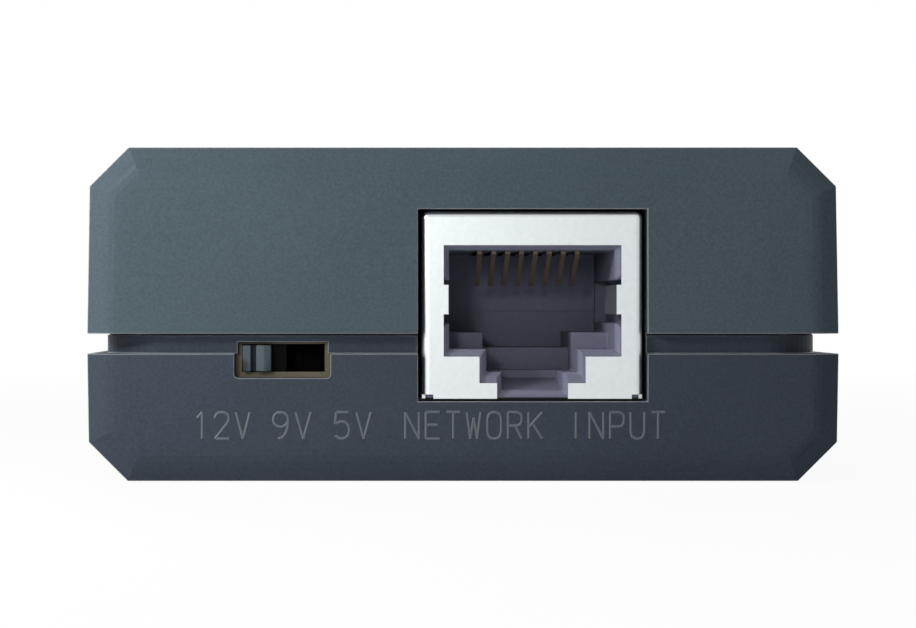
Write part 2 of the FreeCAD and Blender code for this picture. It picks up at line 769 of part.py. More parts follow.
def top_cover():
    body = new_body("top_cover")
    outer_form(body, "parting_height", "case_height", 1)
    inner = cut_plan("wall", WALL_ROUND)
    extrude(body, "hollow", "Z", "parting_height - over_cut", "case_height - wall", [inner], cut=True)
    break_loop(body, "ceiling_break", value("case_height") - value("wall"))
    groove = cut_plan("lip_recess - lip_play", LIP_ROUND + " + lip_play")
    extrude(body, "lip_groove", "Z", "parting_height - over_cut", LIP_TOP + " + lip_play", [groove], cut=True)

    ceiling = "case_height - wall / 2"
    bosses = [(x, y, "boss_radius - head_recess") for x, y in BOSSES]
    extrude(body, "bosses", "Z", "boss_split + boss_gap", ceiling, circles=bosses)
    holes = [(x, y, "thread_radius + thread_bite") for x, y in BOSSES]
    depth = HEAD_SEAT + " + screw_length + screw_hole_spare"
    extrude(body, "screw_holes", "Z", "boss_split", depth, circles=holes, cut=True)
    posts = [box_outline(x, y, "post_half", "post_half") for x, y in POSTS]
    extrude(body, "posts", "Z", BOARD_TOP + " + post_play", ceiling, posts)

    top = BOARD_TOP + " + jack_height + port_top_gap"
    port_cuts(body, "parting_height - over_cut", top, BOARD_TOP + " + dc_height + dc_port_gap")
    pipe = [(*LED_PLACE, "pipe_radius + pipe_play")]
    lid = ("case_height - wall - over_cut", "case_height + over_cut")
    extrude(body, "pipe_hole", "Z", *lid, circles=pipe, cut=True)
    return body


def case_screws():
    """Four self-tapping screws from below: pan heads with a crossed drive, and plain shanks."""
    body = new_body("case_screws")
    under = HEAD_SEAT + " - head_height"
    heads = [(x, y, "head_radius") for x, y in BOSSES]
    extrude(body, "heads", "Z", under, HEAD_SEAT, circles=heads)
    shanks = [(x, y, "thread_radius") for x, y in BOSSES]
    extrude(body, "shanks", "Z", HEAD_SEAT, HEAD_SEAT + " + screw_length", circles=shanks)
    slit = "head_drive / 2"
    arm = "drive_arm"
    corners = [(slit, slit), (arm, slit), (arm, "-" + slit), (slit, "-" + slit), (slit, "-" + arm),
               ("-" + slit, "-" + arm), ("-" + slit, "-" + slit), ("-" + arm, "-" + slit), ("-" + arm, slit),
               ("-" + slit, slit), ("-" + slit, arm), (slit, arm)]
    crosses = [[("%s + %s" % (x, dx), "%s + %s" % (y, dy)) for dx, dy in corners] for x, y in BOSSES]
    extrude(body, "drives", "Z", under + " - over_cut", HEAD_SEAT + " - head_height / 2", crosses, cut=True)
    return body


def circuit_board():
    body = new_body("circuit_board")
    x = "(%s - board_play)" % INNER_HALF_WIDTH
    y = "(%s - board_play)" % INNER_HALF_DEPTH
    notch_x = "(%s - boss_radius - board_notch_play)" % BOSS_X
    notch_y = "(%s - boss_radius - board_notch_play)" % BOSS_Y
    quarter = [(x, notch_y), (notch_x, notch_y), (notch_x, y)]
    outline = []
    for sx, sy, order in (("", "", 1), ("-", "", -1), ("-", "-", 1), ("", "-", -1)):
        outline += [(sx + px, sy + py) for px, py in quarter[::order]]
    extrude(body, "board", "Z", "board_bottom", BOARD_TOP, [outline])

    # Plated holes and slots for everything whose tails pass through the board
    holes = []
    for i in range(int(value("contact_count"))):
        step = "(%s - (contact_count - 1) / 2) * contact_pitch" % i
        depth = "(case_depth / 2 - jack_recess - contact_tail_depth - contact_thick / 2)"
        for centre, place in (("jack_x + " + step, "-" + depth), ("-jack_x - " + step, depth)):
            holes.append((centre, place, "contact_width / 2 + contact_slot_play",
                          "contact_thick / 2 + contact_slot_play"))
    for i in range(int(value("terminal_count"))):
        step = "(%s - (terminal_count - 1) / 2) * terminal_pitch" % i
        place = "%s + %s + terminal_thick / 2" % (SWITCH_FACE, TERMINAL_DROP)
        holes.append((SWITCH_X + " + " + step, place, "terminal_width / 2 + tail_hole_play",
                      "terminal_thick / 2 + tail_hole_play"))
    lead = "lead_half + tail_hole_play"
    for name, more in (("input_capacitor", "0"), ("output_capacitor", "0"),
                       ("output_capacitor", "output_capacitor_step")):
        can_x, can_y = CAN_PLACES[name]
        for side in ("-", "+"):
            holes.append(("%s %s %s_pitch / 2" % (can_x, side, name), can_y + " + " + more, lead, lead))
    for centre, face, turned in (("jack_x", INPUT_FACE, 1), ("-jack_x", OUTPUT_FACE, -1)):
        for side in (-1, 1):
            tab_x = "%s + %d * (jack_width / 2 - jack_sheet / 2)" % (centre, side)
            tab_y = "%s + %d * (tab_front + tab_width / 2)" % (face, turned)
            holes.append((tab_x, tab_y, "jack_sheet / 2 + tail_hole_play", "tab_width / 2 + tail_hole_play"))
    for side in (-1, 1):
        leg_x = "%s + %d * (switch_width / 2 - switch_sheet / 2)" % (SWITCH_X, side)
        leg_y = SWITCH_FACE + " + switch_depth - switch_leg / 2"
        holes.append((leg_x, leg_y, "switch_sheet / 2 + tail_hole_play", "switch_leg / 2 + tail_hole_play"))
    plate_y = DC_FACE + " - dc_length - dc_pin_play - dc_tab_thick / 2"
    holes.append((DC_X, plate_y, "dc_tab_half + tail_hole_play", "dc_tab_thick / 2 + tail_hole_play"))
    leaf_y = DC_FACE + " - dc_spring_depth - dc_spring_thick / 2"
    holes.append((DC_X, leaf_y, "dc_spring_half + tail_hole_play", "dc_spring_thick / 2 + tail_hole_play"))
    outlines = [box_outline(*hole) for hole in holes]
    extrude(body, "tail_holes", "Z", "board_bottom - over_cut", BOARD_TOP + " + over_cut", outlines, cut=True)
    return body


def port_body(label, side):
    """A body in a network port's own frame: depth runs inward from its face, height up from the board."""
    if side == "input":
        return new_body("input_jack_" + label, ("jack_x", INPUT_FACE, BOARD_TOP))
    return new_body("output_jack_" + label, ("-jack_x", OUTPUT_FACE, BOARD_TOP), turned_back=True)


def jack_shield(side):
    """A folded sheet shell, open underneath, with a stepped mouth, sprung earth fingers and board tabs."""
    body = port_body("shield", side)
    half = "jack_width / 2"
    extrude(body, "shell", "Y", "0", "jack_depth", [rectangle(half, "0", "jack_height")])
    depth = value("jack_depth")

    def bend(points, edge):
        level = [p for p in points if p.z < TOUCH]
        return len(level) < 2 and all(p.y < depth - TOUCH or p.z > TOUCH for p in points)

    soften(body, "bends", bend, "jack_bend")
    inner = "jack_width / 2 - jack_sheet"
    block(body, "inside", across("0", inner), ("jack_sheet", "jack_depth - jack_sheet"),
          ("-over_cut", "jack_height - jack_sheet"), cut=True)
    steps = [("shield_mouth_half", "shield_mouth_top"), ("shield_mouth_half", "shield_mouth_bottom"),
             ("shield_step_half", "shield_mouth_bottom"), ("shield_step_half", "shield_step_bottom"),
             ("shield_latch_half", "shield_step_bottom"), ("shield_latch_half", "-over_cut")]
    mouth = steps + [("-" + x, z) for x, z in reversed(steps)]
    front = ("-over_cut", "2 * jack_sheet")
    extrude(body, "mouth", "Y", *front, [mouth], cut=True)
    for sign in ("-", ""):
        notch = on_side(sign, "jack_width / 2 - shield_foot_notch", "jack_width / 2")
        block(body, "foot_notch", notch, front, ("-over_cut", "shield_foot_rise"), cut=True)
        root = "(shield_mouth_half + finger_root)"
        outer = "(shield_mouth_half - finger_reach)"
        tip = "(shield_mouth_half - finger_reach - finger_lean)"
        finger = [(root, "0"), (outer, "0"), (tip, "finger_length"), (tip + " + jack_sheet", "finger_length"),
                  (outer + " + jack_sheet", "jack_sheet"), (root, "jack_sheet")]
        points = [(sign + "(" + x + ")", y) for x, y in finger]
        extrude(body, "earth_finger", "Z", "finger_low", "finger_high", [points])
        wall = on_side(sign, "jack_width / 2 - jack_sheet", "jack_width / 2")
        block(body, "board_tab", wall, ("tab_front", "tab_front + tab_width"), (TAIL_END, "jack_sheet"))
    return body


def jack_housing(side):
    """The moulded insert: a stepped tube with side ledges, a latch keyway and a ramp under the latch."""
    body = port_body("housing", side)
    half = "(jack_width / 2 - jack_sheet - jack_fit)"
    front = "jack_sheet + jack_fit"
    back = "jack_depth - jack_sheet - jack_fit"
    rise = ("jack_fit", "jack_height - jack_sheet - jack_fit")
    block(body, "insert", across("0", half), (front, back), rise)
    plug = [("sill_half", "plug_bottom"), ("sill_half", "sill_top"), ("plug_half", "sill_top"),
            ("plug_half", "plug_top")]
    outline = plug + [("-" + x, z) for x, z in reversed(plug)]
    extrude(body, "plug_cavity", "Y", "0", "plug_depth + over_cut", [outline], cut=True)
    opening = ("plug_bottom", "plug_top")
    block(body, "plug_entry", across("0", "plug_half"), ("0", "sill_depth"), opening, cut=True)
    keyway = rectangle("sill_half", "keyway_bottom", "plug_bottom + cut_lap")
    extrude(body, "keyway", "Y", "0", "keyway_depth", [keyway], cut=True)
    ramp = [("0", "latch_bottom"), ("latch_depth", "latch_bottom + latch_ramp"),
            ("latch_depth", "keyway_bottom + cut_lap"), ("0", "keyway_bottom + cut_lap")]
    extrude(body, "latch_ramp", "X", "-latch_half", "latch_half", [ramp], cut=True)
    grooves = ("groove_low", "groove_high")
    block(body, "finger_grooves", across("0", "groove_half"), ("0", "plug_depth"), grooves, cut=True)
    roof = ("plug_top - cut_lap", "plug_top + carrier_thick")
    block(body, "carrier_slot", across("0", "plug_half"), ("carrier_front", "jack_depth"), roof, cut=True)
    low = ("-over_cut", "plug_top + carrier_thick")
    block(body, "carrier_seat", across("0", "plug_half"), ("plug_depth", "jack_depth"), low, cut=True)
    return body


def contact_places():
    return "(contact_count - 1) / 2 * contact_pitch"


def jack_carrier(side):
    """The rear insert that closes the cavity and holds the contacts in a comb of slots under its roof."""
    body = port_body("carrier", side)
    front = "carrier_front + carrier_play"
    wall = "plug_depth + carrier_play"
    back = "jack_depth - jack_sheet - carrier_play"
    roof = "plug_top + carrier_thick - carrier_play"
    side_view = [
        (front, "plug_top"),
        (wall + " - carrier_step", "plug_top"),
        (wall + " - carrier_step", "carrier_step_height"),
        (wall, "carrier_step_height"),
        (wall, "jack_fit"),
        (back, "jack_fit"),
        (back, roof),
        (front, roof),
    ]
    half = "plug_half - carrier_play"
    extrude(body, "insert", "X", "-(%s)" % half, half, [side_view])
    play = "contact_slot_play"
    comb = [
        ("carrier_front", "plug_top - cut_lap"),
        ("contact_tail_depth - " + play, "plug_top - cut_lap"),
        ("contact_tail_depth - " + play, "-over_cut"),
        ("contact_tail_depth + contact_thick + " + play, "-over_cut"),
        ("contact_tail_depth + contact_thick + " + play, "contact_roof_height + contact_thick + " + play),
        ("carrier_front", "contact_roof_height + contact_thick + " + play),
    ]
    width = "(contact_width / 2 + %s)" % play
    low = "-%s - %s" % (contact_places(), width)
    high = "-%s + %s" % (contact_places(), width)
    slot = extrude(body, "slot", "X", low, high, [comb], cut=True)
    repeat(body, "comb", [slot], "contact_count", "(contact_count - 1) * contact_pitch", cut=True)
    return body


def jack_contacts(side):
    """Eight sprung wires: up from the board, forward along the comb, and bent back down into the cavity."""
    body = port_body("contacts", side)
    thick = "contact_thick"
    tail = "contact_tail_depth"
    roof = "contact_roof_height"
    bend = "contact_bend_depth"
    wire = [
        (tail, TAIL_END),
        (tail + " + " + thick, TAIL_END),
        (tail + " + " + thick, roof + " + " + thick),
        (bend + " + " + thick, roof + " + " + thick),
        (bend, roof),
        (bend, roof + " - contact_bend_drop"),
        ("contact_tip_depth - " + thick, "contact_tip_height - " + thick),
        ("contact_tip_depth", "contact_tip_height"),
        (bend + " + " + thick, roof + " - contact_bend_drop + " + thick),
        (bend + " + " + thick, roof + " - " + thick),
        (bend + " + 2 * " + thick, roof),
        (tail, roof),
    ]
    low = "-%s - contact_width / 2" % contact_places()
    high = "-%s + contact_width / 2" % contact_places()
    first = extrude(body, "contact", "X", low, high, [wire])
    repeat(body, "row", [first], "contact_count", "(contact_count - 1) * contact_pitch")
    return body


def dc_body(label):
    return new_body("dc_jack_" + label, (DC_X, DC_FACE, BOARD_TOP), turned_back=True)


def dc_jack_housing():
    """A square flange in front, an arched barrel behind it, and a bore for the plug."""
    body = dc_body("housing")
    half = "dc_width / 2"
    block(body, "flange", across("0", half), ("0", "dc_flange"), ("0", "dc_height"))
    block(body, "barrel_base", across("0", half), ("dc_flange / 2", "dc_length"), ("0", "dc_axis"))
    extrude(body, "barrel", "Y", "dc_flange / 2", "dc_length", circles=[("0", "dc_axis", half)])
    bore = [("0", "dc_axis", "dc_bore_radius")]
    extrude(body, "bore", "Y", "-over_cut", "dc_bore_depth", circles=bore, cut=True)
    seat = "dc_pin_root_half + dc_pin_play"
    through = ("dc_bore_depth - over_cut", "dc_length + over_cut")
    block(body, "pin_seat", across("0", seat), through, across("dc_axis", seat), cut=True)
    reach = "dc_spring_half + dc_spring_play"
    front = "dc_spring_depth - dc_spring_run - dc_spring_thick"
    run = (front, "dc_spring_depth + dc_spring_thick + dc_spring_play")
    rise = ("-over_cut", "dc_axis - dc_bore_radius + over_cut / 2")
    block(body, "spring_slot", across("0", reach), run, rise, cut=True)
    return body


def dc_jack_pin():
    """The round centre pin on its square root, with a rear plate that runs down through the board."""
    body = dc_body("pin")
    back = "dc_length + dc_pin_play"
    pin = [("0", "dc_axis", "dc_pin_radius")]
    extrude(body, "pin", "Y", "dc_pin_recess", back, circles=pin)
    root = across("dc_axis", "dc_pin_root_half")
    block(body, "root", across("0", "dc_pin_root_half"), ("dc_bore_depth", back), root)
    tip = value("dc_pin_recess")

    def end(points, edge):
        return all(abs(p.y - tip) < TOUCH for p in points)

    soften(body, "tip_break", end, "dc_pin_tip", "PartDesign::Chamfer")
    plate = "dc_axis + dc_tab_half"
    block(body, "plate", across("0", "dc_tab_half"), (back, back + " + dc_tab_thick"), (TAIL_END, plate))
    return body


def dc_jack_spring():
    """The outer contact: a leaf that rises into the bottom of the bore."""
    body = dc_body("spring")
    depth = "dc_spring_depth"
    thick = "dc_spring_thick"
    bore = "dc_axis - dc_bore_radius"
    leaf = [
        (depth, TAIL_END),
        (depth + " + " + thick, TAIL_END),
        (depth + " + " + thick, bore + " - dc_spring_drop + " + thick),
        (depth + " - dc_spring_run + " + thick, bore + " + dc_spring_reach"),
        (depth + " - dc_spring_run", bore + " + dc_spring_reach - " + thick),
        (depth, bore + " - dc_spring_drop"),
    ]
    extrude(body, "leaf", "X", "-dc_spring_half", "dc_spring_half", [leaf])
    return body


def switch_body(label, offset=""):
    return new_body("switch_" + label, (SWITCH_X + offset, SWITCH_FACE, BOARD_TOP))


def switch_frame():
    """A folded metal shell, open behind, with the slot that the knob runs in and two legs."""
    body = switch_body("frame")
    half = "switch_width / 2"
    block(body, "shell", across("0", half), ("0", "switch_depth"), ("0", "switch_height"))

    def front_edge(points, edge):
        return all(abs(p.y) < TOUCH for p in points)

    soften(body, "bends", front_edge, "switch_bend")
    inner = "switch_width / 2 - switch_sheet"
    block(body, "inside", across("0", inner), ("switch_sheet", "switch_depth + over_cut"),
          ("switch_sheet", "switch_height - switch_sheet"), cut=True)
    slot = "(knob_travel + knob_width) / 2 + knob_play"
    rise = ("knob_axis - knob_height / 2 - knob_slot_rise", "knob_axis + knob_height / 2 + knob_slot_rise")
    block(body, "knob_slot", across("0", slot), ("-over_cut", "2 * switch_sheet"), rise, cut=True)
    for sign in ("-", ""):
        wall = on_side(sign, inner, half)
        block(body, "leg", wall, ("switch_depth - switch_leg", "switch_depth"), (TAIL_END, "switch_sheet"))
    return body


def switch_base():
    """The insulating plate that closes the back of the switch and carries its terminals."""
    body = switch_body("base")
    half = "switch_width / 2 - switch_sheet - base_play"
    rise = ("switch_sheet + base_play", "switch_height - switch_sheet - base_play")
    block(body, "plate", across("0", half), ("switch_depth - base_thick", "switch_depth"), rise)
    hole = "(terminal_width / 2 + base_play)"
    start = "-(terminal_count - 1) / 2 * terminal_pitch"
    height = ("knob_axis - terminal_thick / 2 - base_play", "knob_axis + terminal_thick / 2 + base_play")
    slot = block(body, "terminal_slot", ("%s - %s" % (start, hole), "%s + %s" % (start, hole)),
                 ("switch_depth - base_thick - over_cut", "switch_depth + over_cut"), height, cut=True)
    length = "(terminal_count - 1) * terminal_pitch"
    repeat(body, "terminal_slots", [slot], "terminal_count", length, cut=True)
    return body


def switch_terminals():
    """Four pins with rivet heads that the wiper bridges, bent down behind the base and through the board."""
    body = switch_body("terminals")
    start = "-(terminal_count - 1) / 2 * terminal_pitch"
    half = "terminal_width / 2"
    front = "switch_depth - base_thick"
    thick = "terminal_thick"
    low = "knob_axis - terminal_thick / 2"
    side_view = [
        (front + " - terminal_head", low + " - " + thick),
        (front, low + " - " + thick),
        (front, low),
        (TERMINAL_DROP, low),
        (TERMINAL_DROP, TAIL_END),
        (TERMINAL_DROP + " + " + thick, TAIL_END),
        (TERMINAL_DROP + " + " + thick, low + " + " + thick),
        (front, low + " + " + thick),
        (front, low + " + 2 * " + thick),
        (front + " - terminal_head", low + " + 2 * " + thick),
    ]
    pin = extrude(body, "terminal", "X", "%s - %s" % (start, half), "%s + %s" % (start, half), [side_view])
    repeat(body, "row", [pin], "terminal_count", "(terminal_count - 1) * terminal_pitch")
    return body


def switch_knob():
    """The moulded slider: two ribs with a groove between them on a shank, and a block inside the frame."""
    body = switch_body("knob", " - knob_travel / 2")
    tip = "(knob_tip_recess - switch_set_back)"
    half = "knob_width / 2"
    rib = "knob_left_rib - knob_width / 2"
    groove = "knob_left_rib + knob_groove - knob_width / 2"
    peak = "(knob_left_rib + knob_groove) / 2"
    back = "switch_sheet + slider_play + slider_depth / 2"
    top_view = [
        ("-" + half, back),
        (half, back),
        (half, tip + " + knob_peak"),
        (peak, tip),
        (groove, tip + " + knob_peak"),
        (groove, tip + " + knob_groove_depth"),
        (rib, tip + " + knob_groove_depth"),
        (rib, tip + " + knob_peak"),
        ("-" + half, tip + " + knob_peak"),
    ]
    low = "knob_axis - knob_height / 2"
    extrude(body, "shank", "Z", low, low + " + knob_height", [top_view])
    front = "switch_sheet + slider_play"
    block(body, "slider", across("0", "slider_half"), (front, front + " + slider_depth"),
          across("knob_axis", "slider_height / 2"))
    return body


def switch_wiper():
    """A sprung bridge on the back of the slider, which joins two neighbouring terminals."""
    body = switch_body("wiper", " - knob_travel / 2")
    back = "(switch_sheet + slider_play + slider_depth)"
    reach = "(switch_depth - base_thick - terminal_head - wiper_gap)"
    thick = "wiper_thick"
    seat = "wiper_seat"
    half = [
        (seat, back),
        ("wiper_half - " + thick, reach + " - " + thick),
        ("wiper_half", reach + " - " + thick),
        ("wiper_half", reach),
        ("wiper_half - 2 * " + thick, reach),
        (seat + " - " + thick + " / 2", back + " + " + thick),
    ]
    outline = half + [("-(%s)" % x, y) for x, y in reversed(half)]
    extrude(body, "bridge", "Z", "knob_axis - wiper_height / 2", "knob_axis + wiper_height / 2", [outline])
    return body


def power_led():
    body = new_body("power_led", (*LED_PLACE, BOARD_TOP))
    block(body, "chip", across("0", "led_length / 2"), across("0", "led_width / 2"), ("0", "led_height"))
    return body


def light_pipe():
    """A clear rod from above the indicator to the lid, held by its square flange under the lid."""
    body = new_body("light_pipe", (*LED_PLACE, "0"))
    rod = [("0", "0", "pipe_radius")]
    foot = BOARD_TOP + " + led_height + pipe_gap"
    extrude(body, "rod", "Z", foot, "case_height - pipe_recess", circles=rod)
    flange = across("0", "pipe_flange_half")
    block(body, "flange", flange, flange, ("case_height - wall - pipe_flange_thick", "case_height - wall"))
    return body


def transformer_body(label):
    return new_body("transformer_" + label, (TRANSFORMER_X, "transformer_y", BOARD_TOP))


def transformer_core():
    """Two E-shaped ferrites whose legs meet inside and beside the winding."""
    body = transformer_body("core")
    outer = "core_width / 2"
    meet = "core_height / 2 - core_gap / 2"
    for name, height in (("lower_half", "%s"), ("upper_half", "core_height - (%s)")):
        view = [
            ("-" + outer, "0"), (outer, "0"), (outer, meet), (outer + " - core_leg", meet),
            (outer + " - core_leg", "core_back"), ("core_centre / 2", "core_back"),
            ("core_centre / 2", meet), ("-core_centre / 2", meet),
            ("-core_centre / 2", "core_back"), ("core_leg - " + outer, "core_back"),
            ("core_leg - " + outer, meet), ("-" + outer, meet),
        ]
        outline = [(x, height % z) for x, z in view]
        extrude(body, name, "Y", "-core_thick / 2", "core_thick / 2", [outline])
    return body


def transformer_bobbin():
    """A spool round the core's middle leg, on two rails that stand on the board."""
    body = transformer_body("bobbin")
    tube_x = "core_centre / 2 + bobbin_play + bobbin_wall"
    tube_y = "core_thick / 2 + bobbin_play + bobbin_wall"
    low = "core_back + bobbin_play"
    high = "core_height - core_back - bobbin_play"
    flange_x = "core_width / 2 - core_leg - bobbin_play"
    depth = across("0", "bobbin_depth / 2")
    block(body, "tube", across("0", tube_x), across("0", tube_y), (low, high))
    block(body, "lower_flange", across("0", flange_x), depth, (low, low + " + bobbin_flange"))
    block(body, "upper_flange", across("0", flange_x), depth, (high + " - bobbin_flange", high))
    rail = "core_thick / 2 + bobbin_play"
    block(body, "rear_rail", across("0", flange_x), (rail, "bobbin_depth / 2"), ("0", low + " + bobbin_play"))
    block(body, "front_rail", across("0", flange_x), ("-bobbin_depth / 2", "-(%s)" % rail),
          ("0", low + " + bobbin_play"))
    block(body, "leg_hole", across("0", "core_centre / 2 + bobbin_play"),
          across("0", "core_thick / 2 + bobbin_play"), (low + " - over_cut", high + " + over_cut"), cut=True)
    return body


def transformer_winding():
    """The taped coil between the spool's flanges."""
    body = transformer_body("winding")
    low = "core_back + 2 * bobbin_play + bobbin_flange"
    high = "core_height - core_back - 2 * bobbin_play - bobbin_flange"
    x = "core_width / 2 - core_leg - 3 * bobbin_play"
    block(body, "coil", across("0", x), across("0", "winding_depth / 2"), (low, high))

    soften(body, "tape_fold", upright, "winding_fold", "PartDesign::Chamfer")
    block(body, "spool_hole", across("0", "core_centre / 2 + 2 * bobbin_play + bobbin_wall"),
          across("0", "core_thick / 2 + 2 * bobbin_play + bobbin_wall"),
          (low + " - over_cut", high + " + over_cut"), cut=True)
    return body


def line_transformer():
    """The moulded line transformer block with its two rows of leads."""
    body = new_body("line_transformer", ("jack_x", "module_y", BOARD_TOP))
    half = "module_width / 2"
    block(body, "block", across("0", half), across("0", "module_length / 2"),
          ("module_stand_off", "module_stand_off + module_height"))
    soften(body, "block_break", upright, "module_edge", "PartDesign::Chamfer")
    return body


def line_transformer_leads():
    body = new_body("line_transformer_leads", ("jack_x", "module_y", BOARD_TOP))
    reach = "module_width / 2 + lead_reach"
    thick = "lead_thick"
    rows = []
    for side in ("", "-"):
        view = [
            ("module_width / 2", "lead_height"),
            (reach + " - lead_foot", "lead_height"),
            (reach + " - lead_foot", "0"),
            (reach, "0"),
            (reach, thick),
            (reach + " - lead_foot + " + thick, thick),
            (reach + " - lead_foot + " + thick, "lead_height + " + thick),
            ("module_width / 2", "lead_height + " + thick),
        ]
        outline = [("%s(%s)" % (side, x), z) for x, z in view]
        low, high = across("-(lead_count - 1) / 2 * lead_pitch", "lead_width / 2")
        rows.append(extrude(body, "lead", "Y", low, high, [outline]))
    repeat(body, "rows", rows, "lead_count", "(lead_count - 1) * lead_pitch", role="Y_Axis")
    return body


def capacitors(label, name, steps=("0",)):
    """Upright sleeved cans in a row, each with two leads through the board."""
    body = new_body(label, (*CAN_PLACES[name], BOARD_TOP))
    cans = [("0", step, name + "_radius") for step in steps]
    extrude(body, "cans", "Z", "0", name + "_height", circles=cans)
    leads = [box_outline(side + name + "_pitch / 2", step, "lead_half", "lead_half")
             for side in ("-", "") for step in steps]
    extrude(body, "leads", "Z", TAIL_END, "lead_half", leads)
    return body


def safety_capacitor():
    """A dipped disc standing on edge."""
    place = ("jack_x + safety_capacitor_offset", "case_depth / 2 - safety_capacitor_end", BOARD_TOP)
    body = new_body("safety_capacitor", place)
    disc = [("0", "safety_capacitor_radius", "safety_capacitor_radius")]
    extrude(body, "disc", "Y", "-safety_capacitor_thick / 2", "safety_capacitor_thick / 2", circles=disc)
    return body


def choke():
    """A drum choke: two square flanges on a middle post, and the coil between them."""
    place = ("case_width / 2 - choke_inset", "choke_y", BOARD_TOP)
    core = new_body("choke_core", place)
    flange = across("0", "choke_half")
    post = across("0", "choke_post_half")
    block(core, "lower_flange", flange, flange, ("0", "choke_flange"))
    block(core, "post", post, post, ("0", "choke_height"))
    block(core, "upper_flange", flange, flange, ("choke_height - choke_flange", "choke_height"))
    winding = new_body("choke_winding", place)
    low = "choke_flange + choke_play"
    high = "choke_height - choke_flange - choke_play"
    extrude(winding, "coil", "Z", low, high, circles=[("0", "0", "choke_wire_radius")])
    hole = across("0", "choke_post_half + choke_play")
    block(winding, "post_hole", hole, hole, (low + " - over_cut", high + " + over_cut"), cut=True)
    return core, winding


def chips(label, name, side, end, steps=("0",), step_axis="y", legged=True):
    """Moulded chips with a bevelled top, their long side along Y, and flat legs out of both sides."""
    body = new_body(label, (side % name, end % name, BOARD_TOP))
    places = [("0", step) if step_axis == "y" else (step, "0") for step in steps]
    moulds = [box_outline(x, y, name + "_width / 2", name + "_length / 2") for x, y in places]
    extrude(body, "moulds", "Z", "0", name + "_height", moulds)
    height = value(name + "_height")

    def top_edge(points, edge):
        return all(abs(p.z - height) < TOUCH for p in points)

    soften(body, "top_break", top_edge, "chip_edge", "PartDesign::Chamfer")
    if legged:
        rows = int(value(name + "_legs"))
        legs = []
        for x, y in places:
            for i in range(rows):
                spread = "%s + (%d - %s) * %s_leg_pitch" % (y, i, (rows - 1) / 2, name)
                legs.append(box_outline(x, spread, "%s_width / 2 + leg_reach" % name, "leg_width / 2"))
        extrude(body, "legs", "Z", "0", "leg_thick", legs)
    return body


def build():
    bodies = [top_cover(), bottom_cover(), case_screws(), circuit_board()]
    for side in ("input", "output"):
        bodies += [jack_shield(side), jack_housing(side), jack_carrier(side), jack_contacts(side)]
    bodies += [dc_jack_housing(), dc_jack_pin(), dc_jack_spring()]
    bodies += [switch_frame(), switch_base(), switch_terminals(), switch_knob(), switch_wiper()]
    bodies += [power_led(), light_pipe(), transformer_core(), transformer_bobbin(), transformer_winding()]
    bodies += [line_transformer(), line_transformer_leads(), safety_capacitor()]
    bodies += choke()
    bodies.append(capacitors("input_capacitor", "input_capacitor"))
    bodies.append(capacitors("output_capacitors", "output_capacitor", ("0", "output_capacitor_step")))
    bodies.append(chips("controller_chip", "controller", LEFT, REAR))
    bodies.append(chips("optocoupler", "optocoupler", BY_JACK, REAR))
    bodies.append(chips("power_transistor", "transistor", LEFT, FRONT))
    bodies.append(chips("output_diode", "diode", RIGHT, FRONT))
    bodies.append(chips("bridge_rectifiers", "rectifier", BY_JACK, FRONT, ("0", "rectifier_step")))
    steps = ["%d * resistor_pitch" % i for i in range(int(value("resistor_count")))]
    bodies.append(chips("chip_resistors", "resistor", BY_JACK, REAR, steps, "x", legged=False))
    return bodies


def write_parts(bodies):
    """Stop on anything that failed, then write each body's solid."""
    doc.recompute()
    for item in doc.Objects:
        if "Invalid" in item.State or "Error" in item.State:
            raise RuntimeError("%s is %s" % (item.Name, item.State))
    os.makedirs("parts", exist_ok=True)
    for body in bodies:
        shape = body.Shape
        if shape.isNull() or not shape.isValid() or not shape.Solids:
            raise RuntimeError("%s has no valid solid" % body.Label)
        shape.exportStep("parts/%s.step" % body.Label)
        print(body.Label, len(shape.Solids), round(shape.Volume, 2))


write_parts(build())
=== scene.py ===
"""Looks of the PoE splitter: finishes, softened mouldings, raised lettering and a plain studio stage."""

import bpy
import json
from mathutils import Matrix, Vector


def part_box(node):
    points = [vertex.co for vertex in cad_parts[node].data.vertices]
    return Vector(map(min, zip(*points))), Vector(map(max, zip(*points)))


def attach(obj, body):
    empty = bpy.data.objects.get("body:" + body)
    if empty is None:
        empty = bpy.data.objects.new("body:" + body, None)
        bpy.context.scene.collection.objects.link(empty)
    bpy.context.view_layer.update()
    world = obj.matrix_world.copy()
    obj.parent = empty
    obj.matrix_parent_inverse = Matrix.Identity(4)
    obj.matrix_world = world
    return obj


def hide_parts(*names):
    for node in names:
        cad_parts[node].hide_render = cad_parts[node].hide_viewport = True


bl_info = {
    "name": "PoE splitter looks",
    "version": (1, 0, 0),
    "blender": (4, 5, 0),
    "location": "3D Viewport > Sidebar > Splitter",
    "description": "Dresses the splitter's solids with finishes and small detail, and lights them",
    "category": "Object",
}

import json
import math
from collections import namedtuple

import bpy
from mathutils import Vector

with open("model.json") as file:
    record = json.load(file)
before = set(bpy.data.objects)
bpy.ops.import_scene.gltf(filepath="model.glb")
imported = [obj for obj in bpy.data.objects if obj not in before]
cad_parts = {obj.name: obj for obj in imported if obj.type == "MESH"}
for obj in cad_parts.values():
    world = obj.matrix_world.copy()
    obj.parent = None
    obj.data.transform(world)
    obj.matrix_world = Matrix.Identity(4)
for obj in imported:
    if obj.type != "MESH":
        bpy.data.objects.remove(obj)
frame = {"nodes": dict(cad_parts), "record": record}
NODES = frame["nodes"]
PARTS = {part["node"]: part for part in frame["record"]["subparts"]}
BODY_OF = {name: body for body, names in frame["record"]["behaviour"]["bodies"].items() for name in names}
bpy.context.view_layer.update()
MM = 0.001


def colour_property(name, description, default):
    return bpy.props.FloatVectorProperty(
        name=name, description=description, default=default, size=3, subtype="COLOR", min=0, max=1
    )


